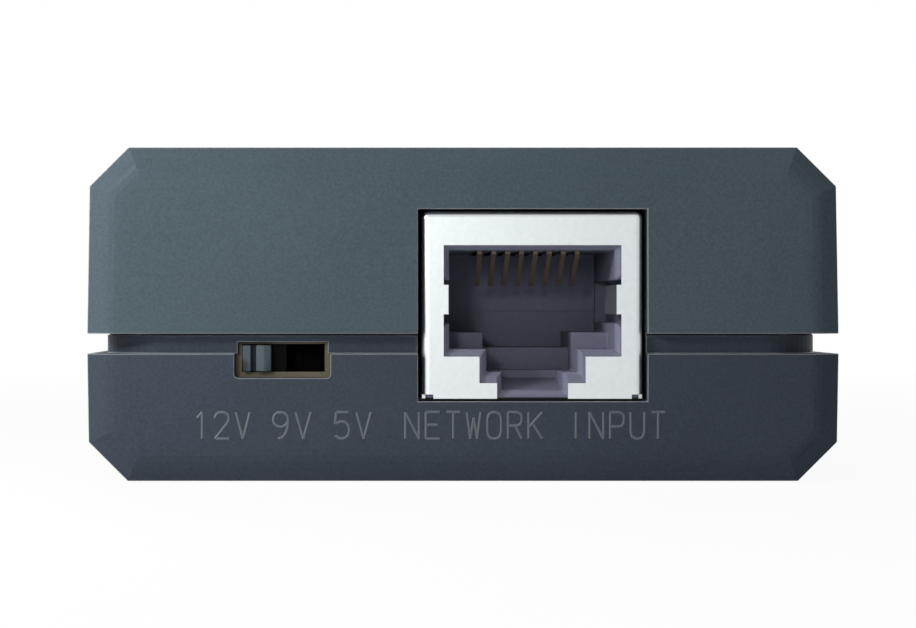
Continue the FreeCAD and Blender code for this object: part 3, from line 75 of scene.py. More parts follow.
def length_property(name, description, millimetres):
    return bpy.props.FloatProperty(
        name=name, description=description, default=millimetres * MM, subtype="DISTANCE", unit="LENGTH"
    )


class SplitterColours(bpy.types.PropertyGroup):
    """Colours of the finishes, each under the name of its finish"""

    case_plastic: colour_property("Case", "Moulded plastic of the upper shell", (0.072, 0.100, 0.118))
    # The lower shell's plastic is the case plastic darkened: painted shade, for its front is lit less than
    # the upper shell's
    lower_plastic: colour_property("Lower case", "Moulded plastic of the lower shell", (0.048, 0.060, 0.080))
    # The edges' colour is lighter than the case plastic: a painted highlight along the rounded edges
    case_edge: colour_property("Case edges", "Smooth edges of both shells", (0.20, 0.225, 0.25))
    # The letters are lighter than the plastic they stand on: a painted highlight on the raised strokes
    letters: colour_property("Letters", "Raised letters of the front", (0.11, 0.13, 0.15))
    plated_steel: colour_property("Plated steel", "Jack shields", (0.60, 0.64, 0.65))
    # The frame's olive steel is darkened far below a steel's own tone: painted shade, for the frame lies deep
    # behind the switch's window
    dull_steel: colour_property("Dull steel", "Frame of the voltage switch", (0.11, 0.10, 0.07))
    # The terminals are painted nearly black: painted shade behind the knob, darker than their metal
    dark_metal: colour_property("Dark metal", "Terminals of the voltage switch", (0.004, 0.004, 0.004))
    # The switch's base is painted nearly black: painted shade deep inside the switch
    deep_plastic: colour_property("Deep plastic", "Base of the voltage switch", (0.004, 0.004, 0.004))
    slider_plastic: colour_property("Slider", "Knob of the voltage switch", (0.085, 0.110, 0.125))
    # The insert's purple-grey is lightened well above black plastic: painted light, matching its brightly lit
    # entrance faces
    black_plastic: colour_property("Insert plastic", "Jack inserts", (0.17, 0.18, 0.245))
    outlet_plastic: colour_property("Outlet plastic", "Housing of the DC outlet", (0.026, 0.027, 0.030))
    # The gold is darkened far below gold plate's own tone: painted shade, for the contacts lie deep in the
    # jack
    gold_plate: colour_property("Gold plate", "Spring contacts", (0.22, 0.17, 0.13))
    laminate: colour_property("Laminate", "Circuit board", (0.010, 0.10, 0.045))
    clear_plastic: colour_property("Clear plastic", "Milky light pipe", (0.58, 0.62, 0.62))
    epoxy: colour_property("Epoxy", "Chips and the line transformer", (0.020, 0.020, 0.022))
    ferrite: colour_property("Ferrite", "Transformer and choke cores", (0.035, 0.034, 0.036))
    tape: colour_property("Tape", "Wrap of the transformer's winding", (0.72, 0.55, 0.06))
    copper_wire: colour_property("Copper wire", "Winding of the choke", (0.55, 0.18, 0.06))
    can_sleeve: colour_property("Can sleeve", "Sleeve of the tall capacitors", (0.015, 0.017, 0.030))
    blue_coat: colour_property("Dipped coat", "Disc capacitor", (0.03, 0.16, 0.45))
    screw_steel: colour_property("Screw steel", "Case screws", (0.30, 0.30, 0.31))
    lamp: colour_property("Lamp", "Power indicator", (0.85, 0.85, 0.70))


class SplitterSizes(bpy.types.PropertyGroup):
    """Sizes of the small detail that the solids don't have"""

    case_rounding: length_property("Case rounding", "Radius of the edges of both shells", 0.11)
    jack_rounding: length_property("Jack rounding", "Radius of the edges of the jack inserts", 0.08)
    outlet_rounding: length_property("Outlet rounding", "Radius of the edges of the DC outlet", 0.2)
    knob_rounding: length_property("Knob rounding", "Radius of the edges of the switch's knob", 0.08)
    entrance_chamfer: length_property("Entrance chamfer", "Chamfer round a jack's opening", 0.34)
    letter_height: length_property("Letter height", "Height of the raised letters", 1.9)
    letter_stroke: length_property("Letter stroke", "Width of a letter's stroke", 0.26)
    letter_base: length_property("Letter base", "Height of the letters' foot over the underside", 3.1)


# A finish: its group, roughness, metallic, grain per mm, fleck, height of the grain in mm, and specular level
GRAIN = "Moulded grain"
BRUSH = "Brushed grain"
Finish = namedtuple("Finish", "group roughness metallic grain fleck height specular", defaults=(0.5,))
FINISHES = {
    "case_plastic": Finish(GRAIN, 0.46, 0, 5.0, 0.22, 0.012, 0.08),
    "lower_plastic": Finish(GRAIN, 0.46, 0, 5.0, 0.22, 0.012, 0.08),
    "case_edge": Finish(GRAIN, 0.34, 0, 5.0, 0.05, 0.002, 0.3),
    "letters": Finish(GRAIN, 0.40, 0, 5.0, 0.05, 0.002, 0.25),
    "plated_steel": Finish(BRUSH, 0.38, 1, 3.0, 0.05, 0.004),
    "dull_steel": Finish(BRUSH, 0.48, 1, 3.0, 0.10, 0.004),
    "dark_metal": Finish(BRUSH, 0.55, 1, 3.0, 0.10, 0.004),
    "deep_plastic": Finish(GRAIN, 0.60, 0, 3.0, 0.10, 0.004, 0.03),
    "slider_plastic": Finish(GRAIN, 0.42, 0, 5.0, 0.10, 0.004, 0.05),
    "black_plastic": Finish(GRAIN, 0.40, 0, 3.0, 0.10, 0.004, 0.15),
    "outlet_plastic": Finish(GRAIN, 0.38, 0, 3.0, 0.10, 0.004),
    "gold_plate": Finish(BRUSH, 0.50, 0.5, 4.0, 0.06, 0.002),
    "laminate": Finish(GRAIN, 0.32, 0, 1.5, 0.12, 0.003),
    "clear_plastic": Finish(GRAIN, 0.16, 0, 1.0, 0.04, 0),
    "epoxy": Finish(GRAIN, 0.55, 0, 6.0, 0.12, 0.006),
    "ferrite": Finish(GRAIN, 0.62, 0, 4.0, 0.18, 0.010),
    "tape": Finish(GRAIN, 0.30, 0, 1.0, 0.06, 0.004),
    "copper_wire": Finish(BRUSH, 0.30, 1, 2.0, 0.08, 0.004),
    "can_sleeve": Finish(GRAIN, 0.28, 0, 1.0, 0.06, 0.002),
    "blue_coat": Finish(GRAIN, 0.25, 0, 0.8, 0.06, 0.004),
    "screw_steel": Finish(BRUSH, 0.36, 1, 4.0, 0.10, 0.003),
    "lamp": Finish(GRAIN, 0.25, 0, 2.0, 0.04, 0),
}

# Nodes whose finish differs from that of their slot
OWN_FINISH = {
    # The lower shell takes a darker copy of the case plastic: painted shade
    "bottom_cover": "lower_plastic",
    "switch_frame": "dull_steel",
    "switch_terminals": "dark_metal",
    "switch_base": "deep_plastic",
    "dc_jack_housing": "outlet_plastic",
}

# Finishes painted darker between two depths, in mm along Y: painted shade, for the slider's foot lies in the
# shadow of its frame
PAINTED_SHADE_DEPTHS = {"slider_plastic": (-39.1, -38.7)}
PAINTED_SHADE_GROUP = "Dark recess"

# The pattern of both grains: fine noise on slow swells, and how much the two shift a colour
FINE_DETAIL = 3
FINE_ROUGHNESS = 0.6
SWELL_SCALE = 90
SWELL_DETAIL = 2
FINE_SHARE = 0.75
SWELL_SHARE = 0.25
NOISE_MIDDLE = 0.5
COLOUR_SWING = 4
BRUSH_STRETCH = (1, 0.12, 1)


def add_socket(group, direction, name, kind, default=None):
    made = group.interface.new_socket(name=name, in_out=direction, socket_type="NodeSocket" + kind)
    if default is not None:
        made.default_value = default


def math_node(tree, operation, *operands):
    """The output of a math node, each of whose operands is a number or another node's output."""
    node = tree.nodes.new("ShaderNodeMath")
    node.operation = operation
    for entry, operand in zip(node.inputs, operands):
        if isinstance(operand, (int, float)):
            entry.default_value = operand
        else:
            tree.links.new(operand, entry)
    return node.outputs[0]


def scaled_colour(tree, colour, factor):
    node = tree.nodes.new("ShaderNodeVectorMath")
    node.operation = "SCALE"
    tree.links.new(colour, node.inputs[0])
    tree.links.new(factor, node.inputs["Scale"])
    return node.outputs[0]


def noise(tree, point, detail):
    node = tree.nodes.new("ShaderNodeTexNoise")
    node.inputs["Detail"].default_value = detail
    tree.links.new(point, node.inputs["Vector"])
    return node


def grain_group(name):
    """Colour, roughness and height that vary finely over a surface. A brushed grain is drawn out along Y."""
    if name in bpy.data.node_groups:
        return bpy.data.node_groups[name]
    group = bpy.data.node_groups.new(name, "ShaderNodeTree")
    add_socket(group, "INPUT", "Colour", "Color", (0.1, 0.1, 0.1, 1))
    add_socket(group, "INPUT", "Roughness", "Float", 0.5)
    add_socket(group, "INPUT", "Scale", "Float", 1000)
    add_socket(group, "INPUT", "Fleck", "Float", 0.1)
    add_socket(group, "OUTPUT", "Colour", "Color")
    add_socket(group, "OUTPUT", "Roughness", "Float")
    add_socket(group, "OUTPUT", "Height", "Float")
    entry = group.nodes.new("NodeGroupInput")
    leave = group.nodes.new("NodeGroupOutput")
    point = group.nodes.new("ShaderNodeTexCoord").outputs["Object"]
    if name == BRUSH:
        stretch = group.nodes.new("ShaderNodeVectorMath")
        stretch.operation = "MULTIPLY"
        stretch.inputs[1].default_value = BRUSH_STRETCH
        group.links.new(point, stretch.inputs[0])
        point = stretch.outputs[0]
    fine = noise(group, point, FINE_DETAIL)
    fine.inputs["Roughness"].default_value = FINE_ROUGHNESS
    group.links.new(entry.outputs["Scale"], fine.inputs["Scale"])
    swell = noise(group, point, SWELL_DETAIL)
    swell.inputs["Scale"].default_value = SWELL_SCALE
    fine_part = math_node(group, "MULTIPLY", fine.outputs[0], FINE_SHARE)
    both = math_node(group, "MULTIPLY_ADD", swell.outputs[0], SWELL_SHARE, fine_part)
    centred = math_node(group, "SUBTRACT", both, NOISE_MIDDLE)
    swing = math_node(group, "MULTIPLY", centred, entry.outputs["Fleck"])
    shade = math_node(group, "MULTIPLY_ADD", swing, COLOUR_SWING, 1)
    rough = math_node(group, "ADD", entry.outputs["Roughness"], swing)
    group.links.new(scaled_colour(group, entry.outputs["Colour"], shade), leave.inputs["Colour"])
    group.links.new(rough, leave.inputs["Roughness"])
    group.links.new(fine.outputs[0], leave.inputs["Height"])
    return group


def painted_shade_group():
    """A colour darkened to black between two depths along Y: painted shade of a recess."""
    if PAINTED_SHADE_GROUP in bpy.data.node_groups:
        return bpy.data.node_groups[PAINTED_SHADE_GROUP]
    group = bpy.data.node_groups.new(PAINTED_SHADE_GROUP, "ShaderNodeTree")
    add_socket(group, "INPUT", "Colour", "Color", (0.1, 0.1, 0.1, 1))
    add_socket(group, "INPUT", "Start", "Float", 0)
    add_socket(group, "INPUT", "End", "Float", 1)
    add_socket(group, "OUTPUT", "Colour", "Color")
    entry = group.nodes.new("NodeGroupInput")
    leave = group.nodes.new("NodeGroupOutput")
    place = group.nodes.new("ShaderNodeTexCoord")
    split = group.nodes.new("ShaderNodeSeparateXYZ")
    share = group.nodes.new("ShaderNodeMapRange")
    share.inputs["To Min"].default_value = 1
    share.inputs["To Max"].default_value = 0
    group.links.new(place.outputs["Object"], split.inputs[0])
    group.links.new(split.outputs["Y"], share.inputs["Value"])
    group.links.new(entry.outputs["Start"], share.inputs["From Min"])
    group.links.new(entry.outputs["End"], share.inputs["From Max"])
    darkened = scaled_colour(group, entry.outputs["Colour"], share.outputs[0])
    group.links.new(darkened, leave.inputs["Colour"])
    return group


def finish_material(context, name):
    """The material of one finish, made once."""
    title = name.replace("_", " ") + " finish"
    if title in bpy.data.materials:
        return bpy.data.materials[title]
    finish = FINISHES[name]
    colour = (*getattr(context.scene.splitter_colours, name), 1)
    made = bpy.data.materials.new(title)
    made.use_nodes = True
    made.diffuse_color = colour
    nodes, links = made.node_tree.nodes, made.node_tree.links
    shader = nodes["Principled BSDF"]
    shader.inputs["Base Color"].default_value = colour
    shader.inputs["Roughness"].default_value = finish.roughness
    shader.inputs["Metallic"].default_value = finish.metallic
    shader.inputs["Specular IOR Level"].default_value = finish.specular
    grain = nodes.new("ShaderNodeGroup")
    grain.node_tree = grain_group(finish.group)
    grain.inputs["Colour"].default_value = colour
    grain.inputs["Roughness"].default_value = finish.roughness
    grain.inputs["Scale"].default_value = finish.grain / MM
    grain.inputs["Fleck"].default_value = finish.fleck
    links.new(grain.outputs["Roughness"], shader.inputs["Roughness"])
    coloured = grain.outputs["Colour"]
    # Painted shade: the colour goes to black between the finish's two depths
    if name in PAINTED_SHADE_DEPTHS:
        start, end = PAINTED_SHADE_DEPTHS[name]
        recess = nodes.new("ShaderNodeGroup")
        recess.node_tree = painted_shade_group()
        recess.inputs["Start"].default_value = start * MM
        recess.inputs["End"].default_value = end * MM
        links.new(coloured, recess.inputs["Colour"])
        coloured = recess.outputs["Colour"]
    links.new(coloured, shader.inputs["Base Color"])
    if finish.height:
        bump = nodes.new("ShaderNodeBump")
        bump.inputs["Strength"].default_value = 1
        bump.inputs["Distance"].default_value = finish.height * MM
        links.new(grain.outputs["Height"], bump.inputs["Height"])
        links.new(bump.outputs["Normal"], shader.inputs["Normal"])
    return made


def finish_of(node):
    return OWN_FINISH.get(node, PARTS[node]["material_slot"])


def dress(piece, context, *finishes):
    """Give a piece its materials, the first of them on all its faces."""
    piece.data.materials.clear()
    for finish in finishes:
        piece.data.materials.append(finish_material(context, finish))
    for face in piece.data.polygons:
        face.material_index = 0


def select_only(piece):
    bpy.ops.object.select_all(action="DESELECT")
    piece.select_set(True)
    bpy.context.view_layer.objects.active = piece


class SPLITTER_OT_finishes(bpy.types.Operator):
    """Give every solid the finish of its slot, or its own"""

    bl_idname = "splitter.finishes"
    bl_label = "Finishes"

    def execute(self, context):
        for node in PARTS:
            dress(NODES[node], context, finish_of(node))
        return {"FINISHED"}


# How a moulding's copy is cleaned and rounded
MERGE_DISTANCE = 0.002
FLAT_WITHIN = math.radians(0.5)
ROUNDING_SEGMENTS = 2
ROUNDED_FROM = math.radians(35)
LARGE_FACE_WEIGHT = 100
# Up to this angle faces shade as one: the case keeps its shallow chamfers, and the round forms are smooth
CASE_SMOOTH = math.radians(4)
ROUND_SMOOTH = math.radians(30)
# The jack housings, each with the end of its box that the opening is on
ENTRANCES = {"input_jack_housing": 0, "output_jack_housing": 1}
FACING = 0.99
OUTLINE_MARGIN = 0.05
PLANE_TOUCH = 0.01


def copy_of(context, node):
    """A copy of a solid with its triangles merged into flat faces, selected and in object mode."""
    piece = bpy.data.objects.new(node + "_moulding", NODES[node].data.copy())
    context.collection.objects.link(piece)
    select_only(piece)
    bpy.ops.object.mode_set(mode="EDIT")
    bpy.ops.mesh.select_all(action="SELECT")
    bpy.ops.mesh.remove_doubles(threshold=MERGE_DISTANCE * MM)
    bpy.ops.mesh.dissolve_limited(angle_limit=FLAT_WITHIN)
    bpy.ops.object.mode_set(mode="OBJECT")
    return piece


def round_edges(context, piece, node, radius, smooth, highlight_finish=None):
    """Round the sharp edges of a solid's copy, which then stands for the solid."""
    finishes = [finish_of(node)]
    if highlight_finish:
        finishes.append(highlight_finish)
    dress(piece, context, *finishes)
    rounding = piece.modifiers.new("rounding", "BEVEL")
    rounding.width = radius
    rounding.segments = ROUNDING_SEGMENTS
    rounding.limit_method = "ANGLE"
    rounding.angle_limit = ROUNDED_FROM
    rounding.harden_normals = True
    # The rounded faces take the last finish: on the shells the edge colour, a painted highlight
    rounding.material = len(finishes) - 1
    bpy.ops.object.shade_smooth_by_angle(angle=smooth)
    bpy.ops.object.modifier_apply(modifier="rounding")
    flattening = piece.modifiers.new("flattening", "WEIGHTED_NORMAL")
    flattening.weight = LARGE_FACE_WEIGHT
    flattening.keep_sharp = True
    bpy.ops.object.modifier_apply(modifier="flattening")
    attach(piece, BODY_OF[node])
    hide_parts(node)


def entrance_edges(mesh, node):
    """Edges round a jack's opening: in the plane of its end face, and inside the housing's outline."""
    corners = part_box(node)
    low, high = corners
    plane = corners[ENTRANCES[node]].y
    margin = OUTLINE_MARGIN * MM
    end_faces = {}
    for face in mesh.polygons:
        if abs(face.normal.y) > FACING:
            for key in face.edge_keys:
                end_faces[key] = end_faces.get(key, 0) + 1

    def inside(vertex):
        place = mesh.vertices[vertex].co
        across = low.x + margin < place.x < high.x - margin
        up = low.z + margin < place.z < high.z - margin
        return abs(place.y - plane) < PLANE_TOUCH * MM and across and up

    return [edge for edge in mesh.edges if end_faces.get(edge.key) == 1 and all(map(inside, edge.vertices))]


def chamfer_entrance(piece, node, chamfer):
    """Chamfer the opening of a jack, which leads the plug in."""
    bpy.ops.object.mode_set(mode="EDIT")
    bpy.ops.mesh.select_mode(type="FACE")
    bpy.ops.mesh.select_all(action="DESELECT")
    bpy.ops.object.mode_set(mode="OBJECT")
    for face in piece.data.polygons:
        face.select = abs(face.normal.y) > FACING
    bpy.ops.object.mode_set(mode="EDIT")
    bpy.ops.mesh.quads_convert_to_tris()
    bpy.ops.mesh.select_mode(type="EDGE")
    bpy.ops.mesh.select_all(action="DESELECT")
    bpy.ops.object.mode_set(mode="OBJECT")
    chosen = entrance_edges(piece.data, node)
    if not chosen:
        raise RuntimeError("no entrance edges on " + node)
    for edge in chosen:
        edge.select = True
    bpy.ops.object.mode_set(mode="EDIT")
    bpy.ops.mesh.bevel(offset=chamfer, segments=1, affect="EDGES", loop_slide=False)
    bpy.ops.object.mode_set(mode="OBJECT")


class SPLITTER_OT_case_shells(bpy.types.Operator):
    """Round the edges of both shells, whose rounded faces get a smoother finish with a lighter colour: a
    painted highlight along the edges
    """

    bl_idname = "splitter.case_shells"
    bl_label = "Case shells"

    def execute(self, context):
        radius = context.scene.splitter_sizes.case_rounding
        for node in ("top_cover", "bottom_cover"):
            round_edges(context, copy_of(context, node), node, radius, CASE_SMOOTH, "case_edge")
        return {"FINISHED"}


class SPLITTER_OT_jack_inserts(bpy.types.Operator):
    """Chamfer the openings of the jack inserts, and round their edges"""

    bl_idname = "splitter.jack_inserts"
    bl_label = "Jack inserts"

    def execute(self, context):
        sizes = context.scene.splitter_sizes
        for node in ENTRANCES:
            piece = copy_of(context, node)
            chamfer_entrance(piece, node, sizes.entrance_chamfer)
            round_edges(context, piece, node, sizes.jack_rounding, ROUND_SMOOTH)
        return {"FINISHED"}


class SPLITTER_OT_outlet(bpy.types.Operator):
    """Round the edges of the DC outlet"""

    bl_idname = "splitter.outlet"
    bl_label = "DC outlet"

    def execute(self, context):
        radius = context.scene.splitter_sizes.outlet_rounding
        node = "dc_jack_housing"
        round_edges(context, copy_of(context, node), node, radius, ROUND_SMOOTH)
        return {"FINISHED"}


class SPLITTER_OT_knob(bpy.types.Operator):
    """Round the ribs of the voltage switch's knob"""

    bl_idname = "splitter.knob"
    bl_label = "Switch knob"

    def execute(self, context):
        radius = context.scene.splitter_sizes.knob_rounding
        node = "switch_knob"
        round_edges(context, copy_of(context, node), node, radius, ROUND_SMOOTH)
        return {"FINISHED"}


# Words along the front: text, and where it starts and ends across the front, in mm
WORDS = (("12V", -19.25, -15.25), ("9V", -13.6, -10.9), ("5V", -9.2, -6.6), ("NETWORK INPUT", -4.15, 14.4))
# Strokes of the letters in a cell 1 high, as runs of (across, up)
# A run turns by more than SHARP_TURN only at a corner
STROKES = {
    "1": [[(0.12, 0.78), (0.30, 1.0), (0.30, 0.0)]],
    "2": [[(0.0, 0.76), (0.03, 0.90), (0.13, 0.98), (0.26, 1.0), (0.39, 0.98), (0.49, 0.90), (0.52, 0.76),
           (0.48, 0.62), (0.0, 0.0), (0.52, 0.0)]],
    "5": [[(0.48, 1.0), (0.06, 1.0), (0.02, 0.56), (0.14, 0.63), (0.28, 0.65), (0.41, 0.61), (0.50, 0.49),
           (0.52, 0.32), (0.49, 0.15), (0.40, 0.04), (0.26, 0.0), (0.12, 0.03), (0.02, 0.13)]],
    "9": [[(0.50, 0.62), (0.42, 0.50), (0.28, 0.44), (0.13, 0.48), (0.03, 0.58), (0.0, 0.72), (0.03, 0.87),
           (0.13, 0.97), (0.26, 1.0), (0.40, 0.97), (0.49, 0.87), (0.52, 0.70), (0.50, 0.42), (0.42, 0.18),
           (0.30, 0.04), (0.16, 0.0)]],
    "V": [[(0.0, 1.0), (0.26, 0.0), (0.52, 1.0)]],
    "N": [[(0.0, 0.0), (0.0, 1.0), (0.52, 0.0), (0.52, 1.0)]],
    "E": [[(0.52, 1.0), (0.0, 1.0), (0.0, 0.0), (0.52, 0.0)], [(0.0, 0.52), (0.44, 0.52)]],
    "T": [[(0.0, 1.0), (0.52, 1.0)], [(0.26, 1.0), (0.26, 0.0)]],
    "W": [[(0.0, 1.0), (0.13, 0.0), (0.26, 0.80), (0.39, 0.0), (0.52, 1.0)]],
    "O": [[(0.0, 0.74), (0.0, 0.26), (0.04, 0.10), (0.14, 0.02), (0.26, 0.0), (0.38, 0.02), (0.48, 0.10),
           (0.52, 0.26), (0.52, 0.74), (0.48, 0.90), (0.38, 0.98), (0.26, 1.0), (0.14, 0.98), (0.04, 0.90),
           (0.0, 0.74)]],
    "R": [[(0.0, 0.0), (0.0, 1.0), (0.34, 1.0), (0.46, 0.95), (0.52, 0.84), (0.52, 0.66), (0.46, 0.54),
           (0.34, 0.49), (0.0, 0.49)], [(0.28, 0.49), (0.52, 0.0)]],
    "K": [[(0.0, 1.0), (0.0, 0.0)], [(0.52, 1.0), (0.0, 0.42)], [(0.16, 0.58), (0.52, 0.0)]],
    "I": [[(0.26, 1.0), (0.26, 0.0)]],
    "P": [[(0.0, 0.0), (0.0, 1.0), (0.34, 1.0), (0.46, 0.95), (0.52, 0.84), (0.52, 0.62), (0.46, 0.50),
           (0.34, 0.45), (0.0, 0.45)]],
    "U": [[(0.0, 1.0), (0.0, 0.26), (0.04, 0.10), (0.14, 0.02), (0.26, 0.0), (0.38, 0.02), (0.48, 0.10),
           (0.52, 0.26), (0.52, 1.0)]],
}
LETTER_WIDTH = 0.52
LETTER_GAP = 0.26
SPACE = 0.5
SHARP_TURN = math.radians(50)
STROKE_FACETS = 2
# The lower shell's front below its ledge: the ledge's height and the front's inset there in mm, and its lean
LEDGE_HEIGHT = 9.17
FACE_INSET = 0.01
FACE_LEAN = 0.014
# How far the middle of a stroke lies behind that front, in mm
LETTER_SINK = 0.065


def face_depth(height):
    """Where the lower shell's front face is at a height: it leans in with the draft below its ledge."""
    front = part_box("bottom_cover")[0].y
    return front + FACE_INSET * MM + (LEDGE_HEIGHT * MM - height) * FACE_LEAN


def strokes_of(letter):
    """The runs of a letter, cut at their sharp corners, where one swept stroke would pinch."""
    strokes = []
    for run in STROKES.get(letter, ()):
        strokes.append([run[0]])
        for before, corner, after in zip(run, run[1:], run[2:]):
            strokes[-1].append(corner)
            arriving = Vector(corner) - Vector(before)
            leaving = Vector(after) - Vector(corner)
            if arriving.angle(leaving) > SHARP_TURN:
                strokes.append([corner])
        strokes[-1].append(run[-1])
    return strokes


def cell_width(letter):
    return SPACE if letter == " " else LETTER_WIDTH


class SPLITTER_OT_lettering(bpy.types.Operator):
    """Raise the switch's voltages and the port's name on the front face"""

    bl_idname = "splitter.lettering"
    bl_label = "Lettering"

    def execute(self, context):
        sizes = context.scene.splitter_sizes
        curve = bpy.data.curves.new("front_lettering", "CURVE")
        curve.dimensions = "3D"
        curve.bevel_depth = sizes.letter_stroke / 2
        curve.bevel_resolution = STROKE_FACETS
        curve.use_fill_caps = True
        for text, start, end in WORDS:
            cells = sum(map(cell_width, text)) + LETTER_GAP * (len(text) - 1)
            unit = (end - start) * MM / cells
            x = start * MM
            for letter in text:
                for stroke in strokes_of(letter):
                    spline = curve.splines.new("POLY")
                    spline.points.add(len(stroke) - 1)
                    for point, (across, up) in zip(spline.points, stroke):
                        z = sizes.letter_base + up * sizes.letter_height
                        point.co = (x + across * unit, face_depth(z) + LETTER_SINK * MM, z, 1)
                x += cell_width(letter) * unit + LETTER_GAP * unit
        piece = bpy.data.objects.new("front_lettering", curve)
        context.collection.objects.link(piece)
        select_only(piece)
        bpy.ops.object.convert(target="MESH")
        piece = context.object
        # The letters' lighter colour is a painted highlight on their strokes
        dress(piece, context, "letters")
        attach(piece, "case")
        return {"FINISHED"}


# The stage, lengths in mm
# The camera stands where the photograph's did, and its shift frames the object as there
CAMERA_PLACE = (-7.4, -185.4, 12.3)
CAMERA_LENS = 79.8
CAMERA_SENSOR = 36
CAMERA_SHIFT = (0.107, -0.0044)
CAMERA_CLIP = (5, 20000)
AMBIENT = 0.06
FLOOR_SIZE = 6000
FLOOR_GAP = 0.05
FLOOR_COLOUR = (0.85, 0.85, 0.85, 1)
FLOOR_ROUGHNESS = 0.9
FLOOR_SPECULAR = 0.1
# The white share of the floor near the object, and the distances over which it goes to all white
FLOOR_WHITE = 0.94
FADE = (70, 260)
# Name, place, what it aims at, side length, and power in watts
LAMPS = (
    ("key", (-82, -88, 50), (-5, -40, 12), 22, 0.071),
    ("front", (-34, -185, 38), (0, -40, 12), 18, 0.034),
    ("overhead", (-30, -90, 200), (-5, -30, 12), 90, 0.08),
    ("rear", (-60, 320, 260), (0, 0, 12), 250, 0.8),
)


def area_light(name, place, aim, size, power):
    place, aim = Vector(place) * MM, Vector(aim) * MM
    bpy.ops.object.light_add(type="AREA", location=place)
    lamp = bpy.context.object
    lamp.name = name
    lamp.rotation_euler = (aim - place).to_track_quat("-Z", "Y").to_euler()
    lamp.data.size = size * MM
    lamp.data.energy = power
    lamp.visible_camera = False


def seen_directly(tree):
    """1 for rays from the camera, from gloss and through glass, 0 for the rest."""
    path = tree.nodes.new("ShaderNodeLightPath")
    gloss = math_node(tree, "MAXIMUM", path.outputs["Is Camera Ray"], path.outputs["Is Glossy Ray"])
    return math_node(tree, "MAXIMUM", gloss, path.outputs["Is Transmission Ray"])


def mixed(tree, share, first, second):
    """The first shader, with a share of the second mixed into it."""
    mix = tree.nodes.new("ShaderNodeMixShader")
    for entry, source in zip(mix.inputs, (share, first, second)):
        tree.links.new(source, entry)
    return mix.outputs[0]


def pale_floor():
    """A floor that keeps the object's shadow, is plain white further off, and is clear from below."""
    paint = bpy.data.materials.new("pale_floor")
    paint.use_nodes = True
    tree = paint.node_tree
    shader = tree.nodes["Principled BSDF"]
    shader.inputs["Base Color"].default_value = FLOOR_COLOUR
    shader.inputs["Roughness"].default_value = FLOOR_ROUGHNESS
    shader.inputs["Specular IOR Level"].default_value = FLOOR_SPECULAR
    place = tree.nodes.new("ShaderNodeTexCoord")
    distance = tree.nodes.new("ShaderNodeVectorMath")
    distance.operation = "LENGTH"
    tree.links.new(place.outputs["Object"], distance.inputs[0])
    fade = tree.nodes.new("ShaderNodeMapRange")
    fade.inputs["From Min"].default_value = FADE[0] * MM
    fade.inputs["From Max"].default_value = FADE[1] * MM
    fade.inputs["To Min"].default_value = FLOOR_WHITE
    fade.inputs["To Max"].default_value = 1
    tree.links.new(distance.outputs["Value"], fade.inputs["Value"])
    share = math_node(tree, "MULTIPLY", seen_directly(tree), fade.outputs[0])
    white = tree.nodes.new("ShaderNodeEmission")
    clear = tree.nodes.new("ShaderNodeBsdfTransparent")
    side = tree.nodes.new("ShaderNodeNewGeometry").outputs["Backfacing"]
    above = mixed(tree, share, shader.outputs[0], white.outputs[0])
    surface = tree.nodes["Material Output"].inputs["Surface"]
    tree.links.new(mixed(tree, side, above, clear.outputs[0]), surface)
    return paint


def pale_world(scene):
    """A soft light from all sides, from a world that is white where it is seen directly."""
    world = scene.world or bpy.data.worlds.new("studio")
    scene.world = world
    world.use_nodes = True
    tree = world.node_tree
    light = tree.nodes["Background"]
    white = tree.nodes.new("ShaderNodeBackground")
    for background, strength in ((light, AMBIENT), (white, 1)):
        background.inputs["Color"].default_value = (1, 1, 1, 1)
        background.inputs["Strength"].default_value = strength
    shown = mixed(tree, seen_directly(tree), light.outputs[0], white.outputs[0])
    tree.links.new(shown, tree.nodes["World Output"].inputs["Surface"])


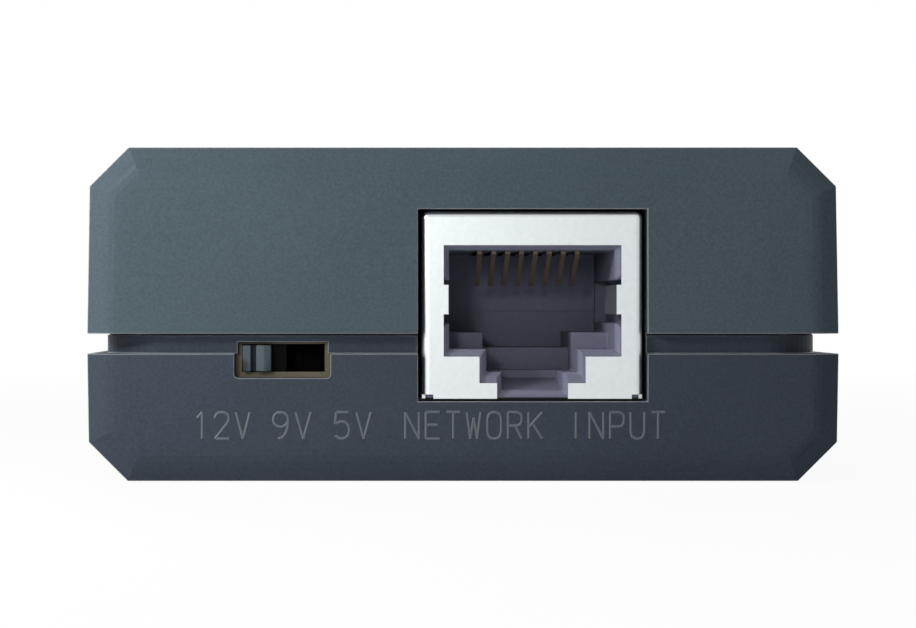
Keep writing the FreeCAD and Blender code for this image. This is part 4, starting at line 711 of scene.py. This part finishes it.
def add_camera(scene):
    """The scene's camera, level and looking along +Y."""
    bpy.ops.object.camera_add(location=Vector(CAMERA_PLACE) * MM, rotation=(math.pi / 2, 0, 0))
    camera = bpy.context.object
    camera.data.sensor_width = CAMERA_SENSOR
    camera.data.lens = CAMERA_LENS
    camera.data.shift_x, camera.data.shift_y = CAMERA_SHIFT
    camera.data.clip_start = CAMERA_CLIP[0] * MM
    camera.data.clip_end = CAMERA_CLIP[1] * MM
    scene.camera = camera


class SPLITTER_OT_stage(bpy.types.Operator):
    """Set the floor, the world, the lamps and the camera"""

    bl_idname = "splitter.stage"
    bl_label = "Stage"

    def execute(self, context):
        bpy.ops.object.select_all(action="DESELECT")
        bpy.ops.mesh.primitive_plane_add(size=FLOOR_SIZE * MM, location=(0, 0, -FLOOR_GAP * MM))
        floor = context.object
        floor.name = "floor"
        floor.data.materials.append(pale_floor())
        pale_world(context.scene)
        for lamp in LAMPS:
            area_light(*lamp)
        add_camera(context.scene)
        context.scene.view_settings.view_transform = "Standard"
        return {"FINISHED"}


OPERATORS = (
    SPLITTER_OT_finishes,
    SPLITTER_OT_case_shells,
    SPLITTER_OT_jack_inserts,
    SPLITTER_OT_outlet,
    SPLITTER_OT_knob,
    SPLITTER_OT_lettering,
    SPLITTER_OT_stage,
)


class SPLITTER_PT_looks(bpy.types.Panel):
    """The splitter's pieces, one button each, in order, with their colours and sizes"""

    bl_label = "Splitter looks"
    bl_idname = "SPLITTER_PT_looks"
    bl_space_type = "VIEW_3D"
    bl_region_type = "UI"
    bl_category = "Splitter"

    def draw(self, context):
        for operator in OPERATORS:
            self.layout.operator(operator.bl_idname)
        for group in (context.scene.splitter_colours, context.scene.splitter_sizes):
            for name in group.__annotations__:
                self.layout.prop(group, name)


CLASSES = (SplitterColours, SplitterSizes, *OPERATORS, SPLITTER_PT_looks)


def register():
    for kind in CLASSES:
        bpy.utils.register_class(kind)
    bpy.types.Scene.splitter_colours = bpy.props.PointerProperty(type=SplitterColours)
    bpy.types.Scene.splitter_sizes = bpy.props.PointerProperty(type=SplitterSizes)


def unregister():
    del bpy.types.Scene.splitter_sizes
    del bpy.types.Scene.splitter_colours
    for kind in reversed(CLASSES):
        bpy.utils.unregister_class(kind)


def main():
    register()
    for operator in OPERATORS:
        group, name = operator.bl_idname.split(".")
        getattr(getattr(bpy.ops, group), name)()


if __name__ == "__main__":
    main()
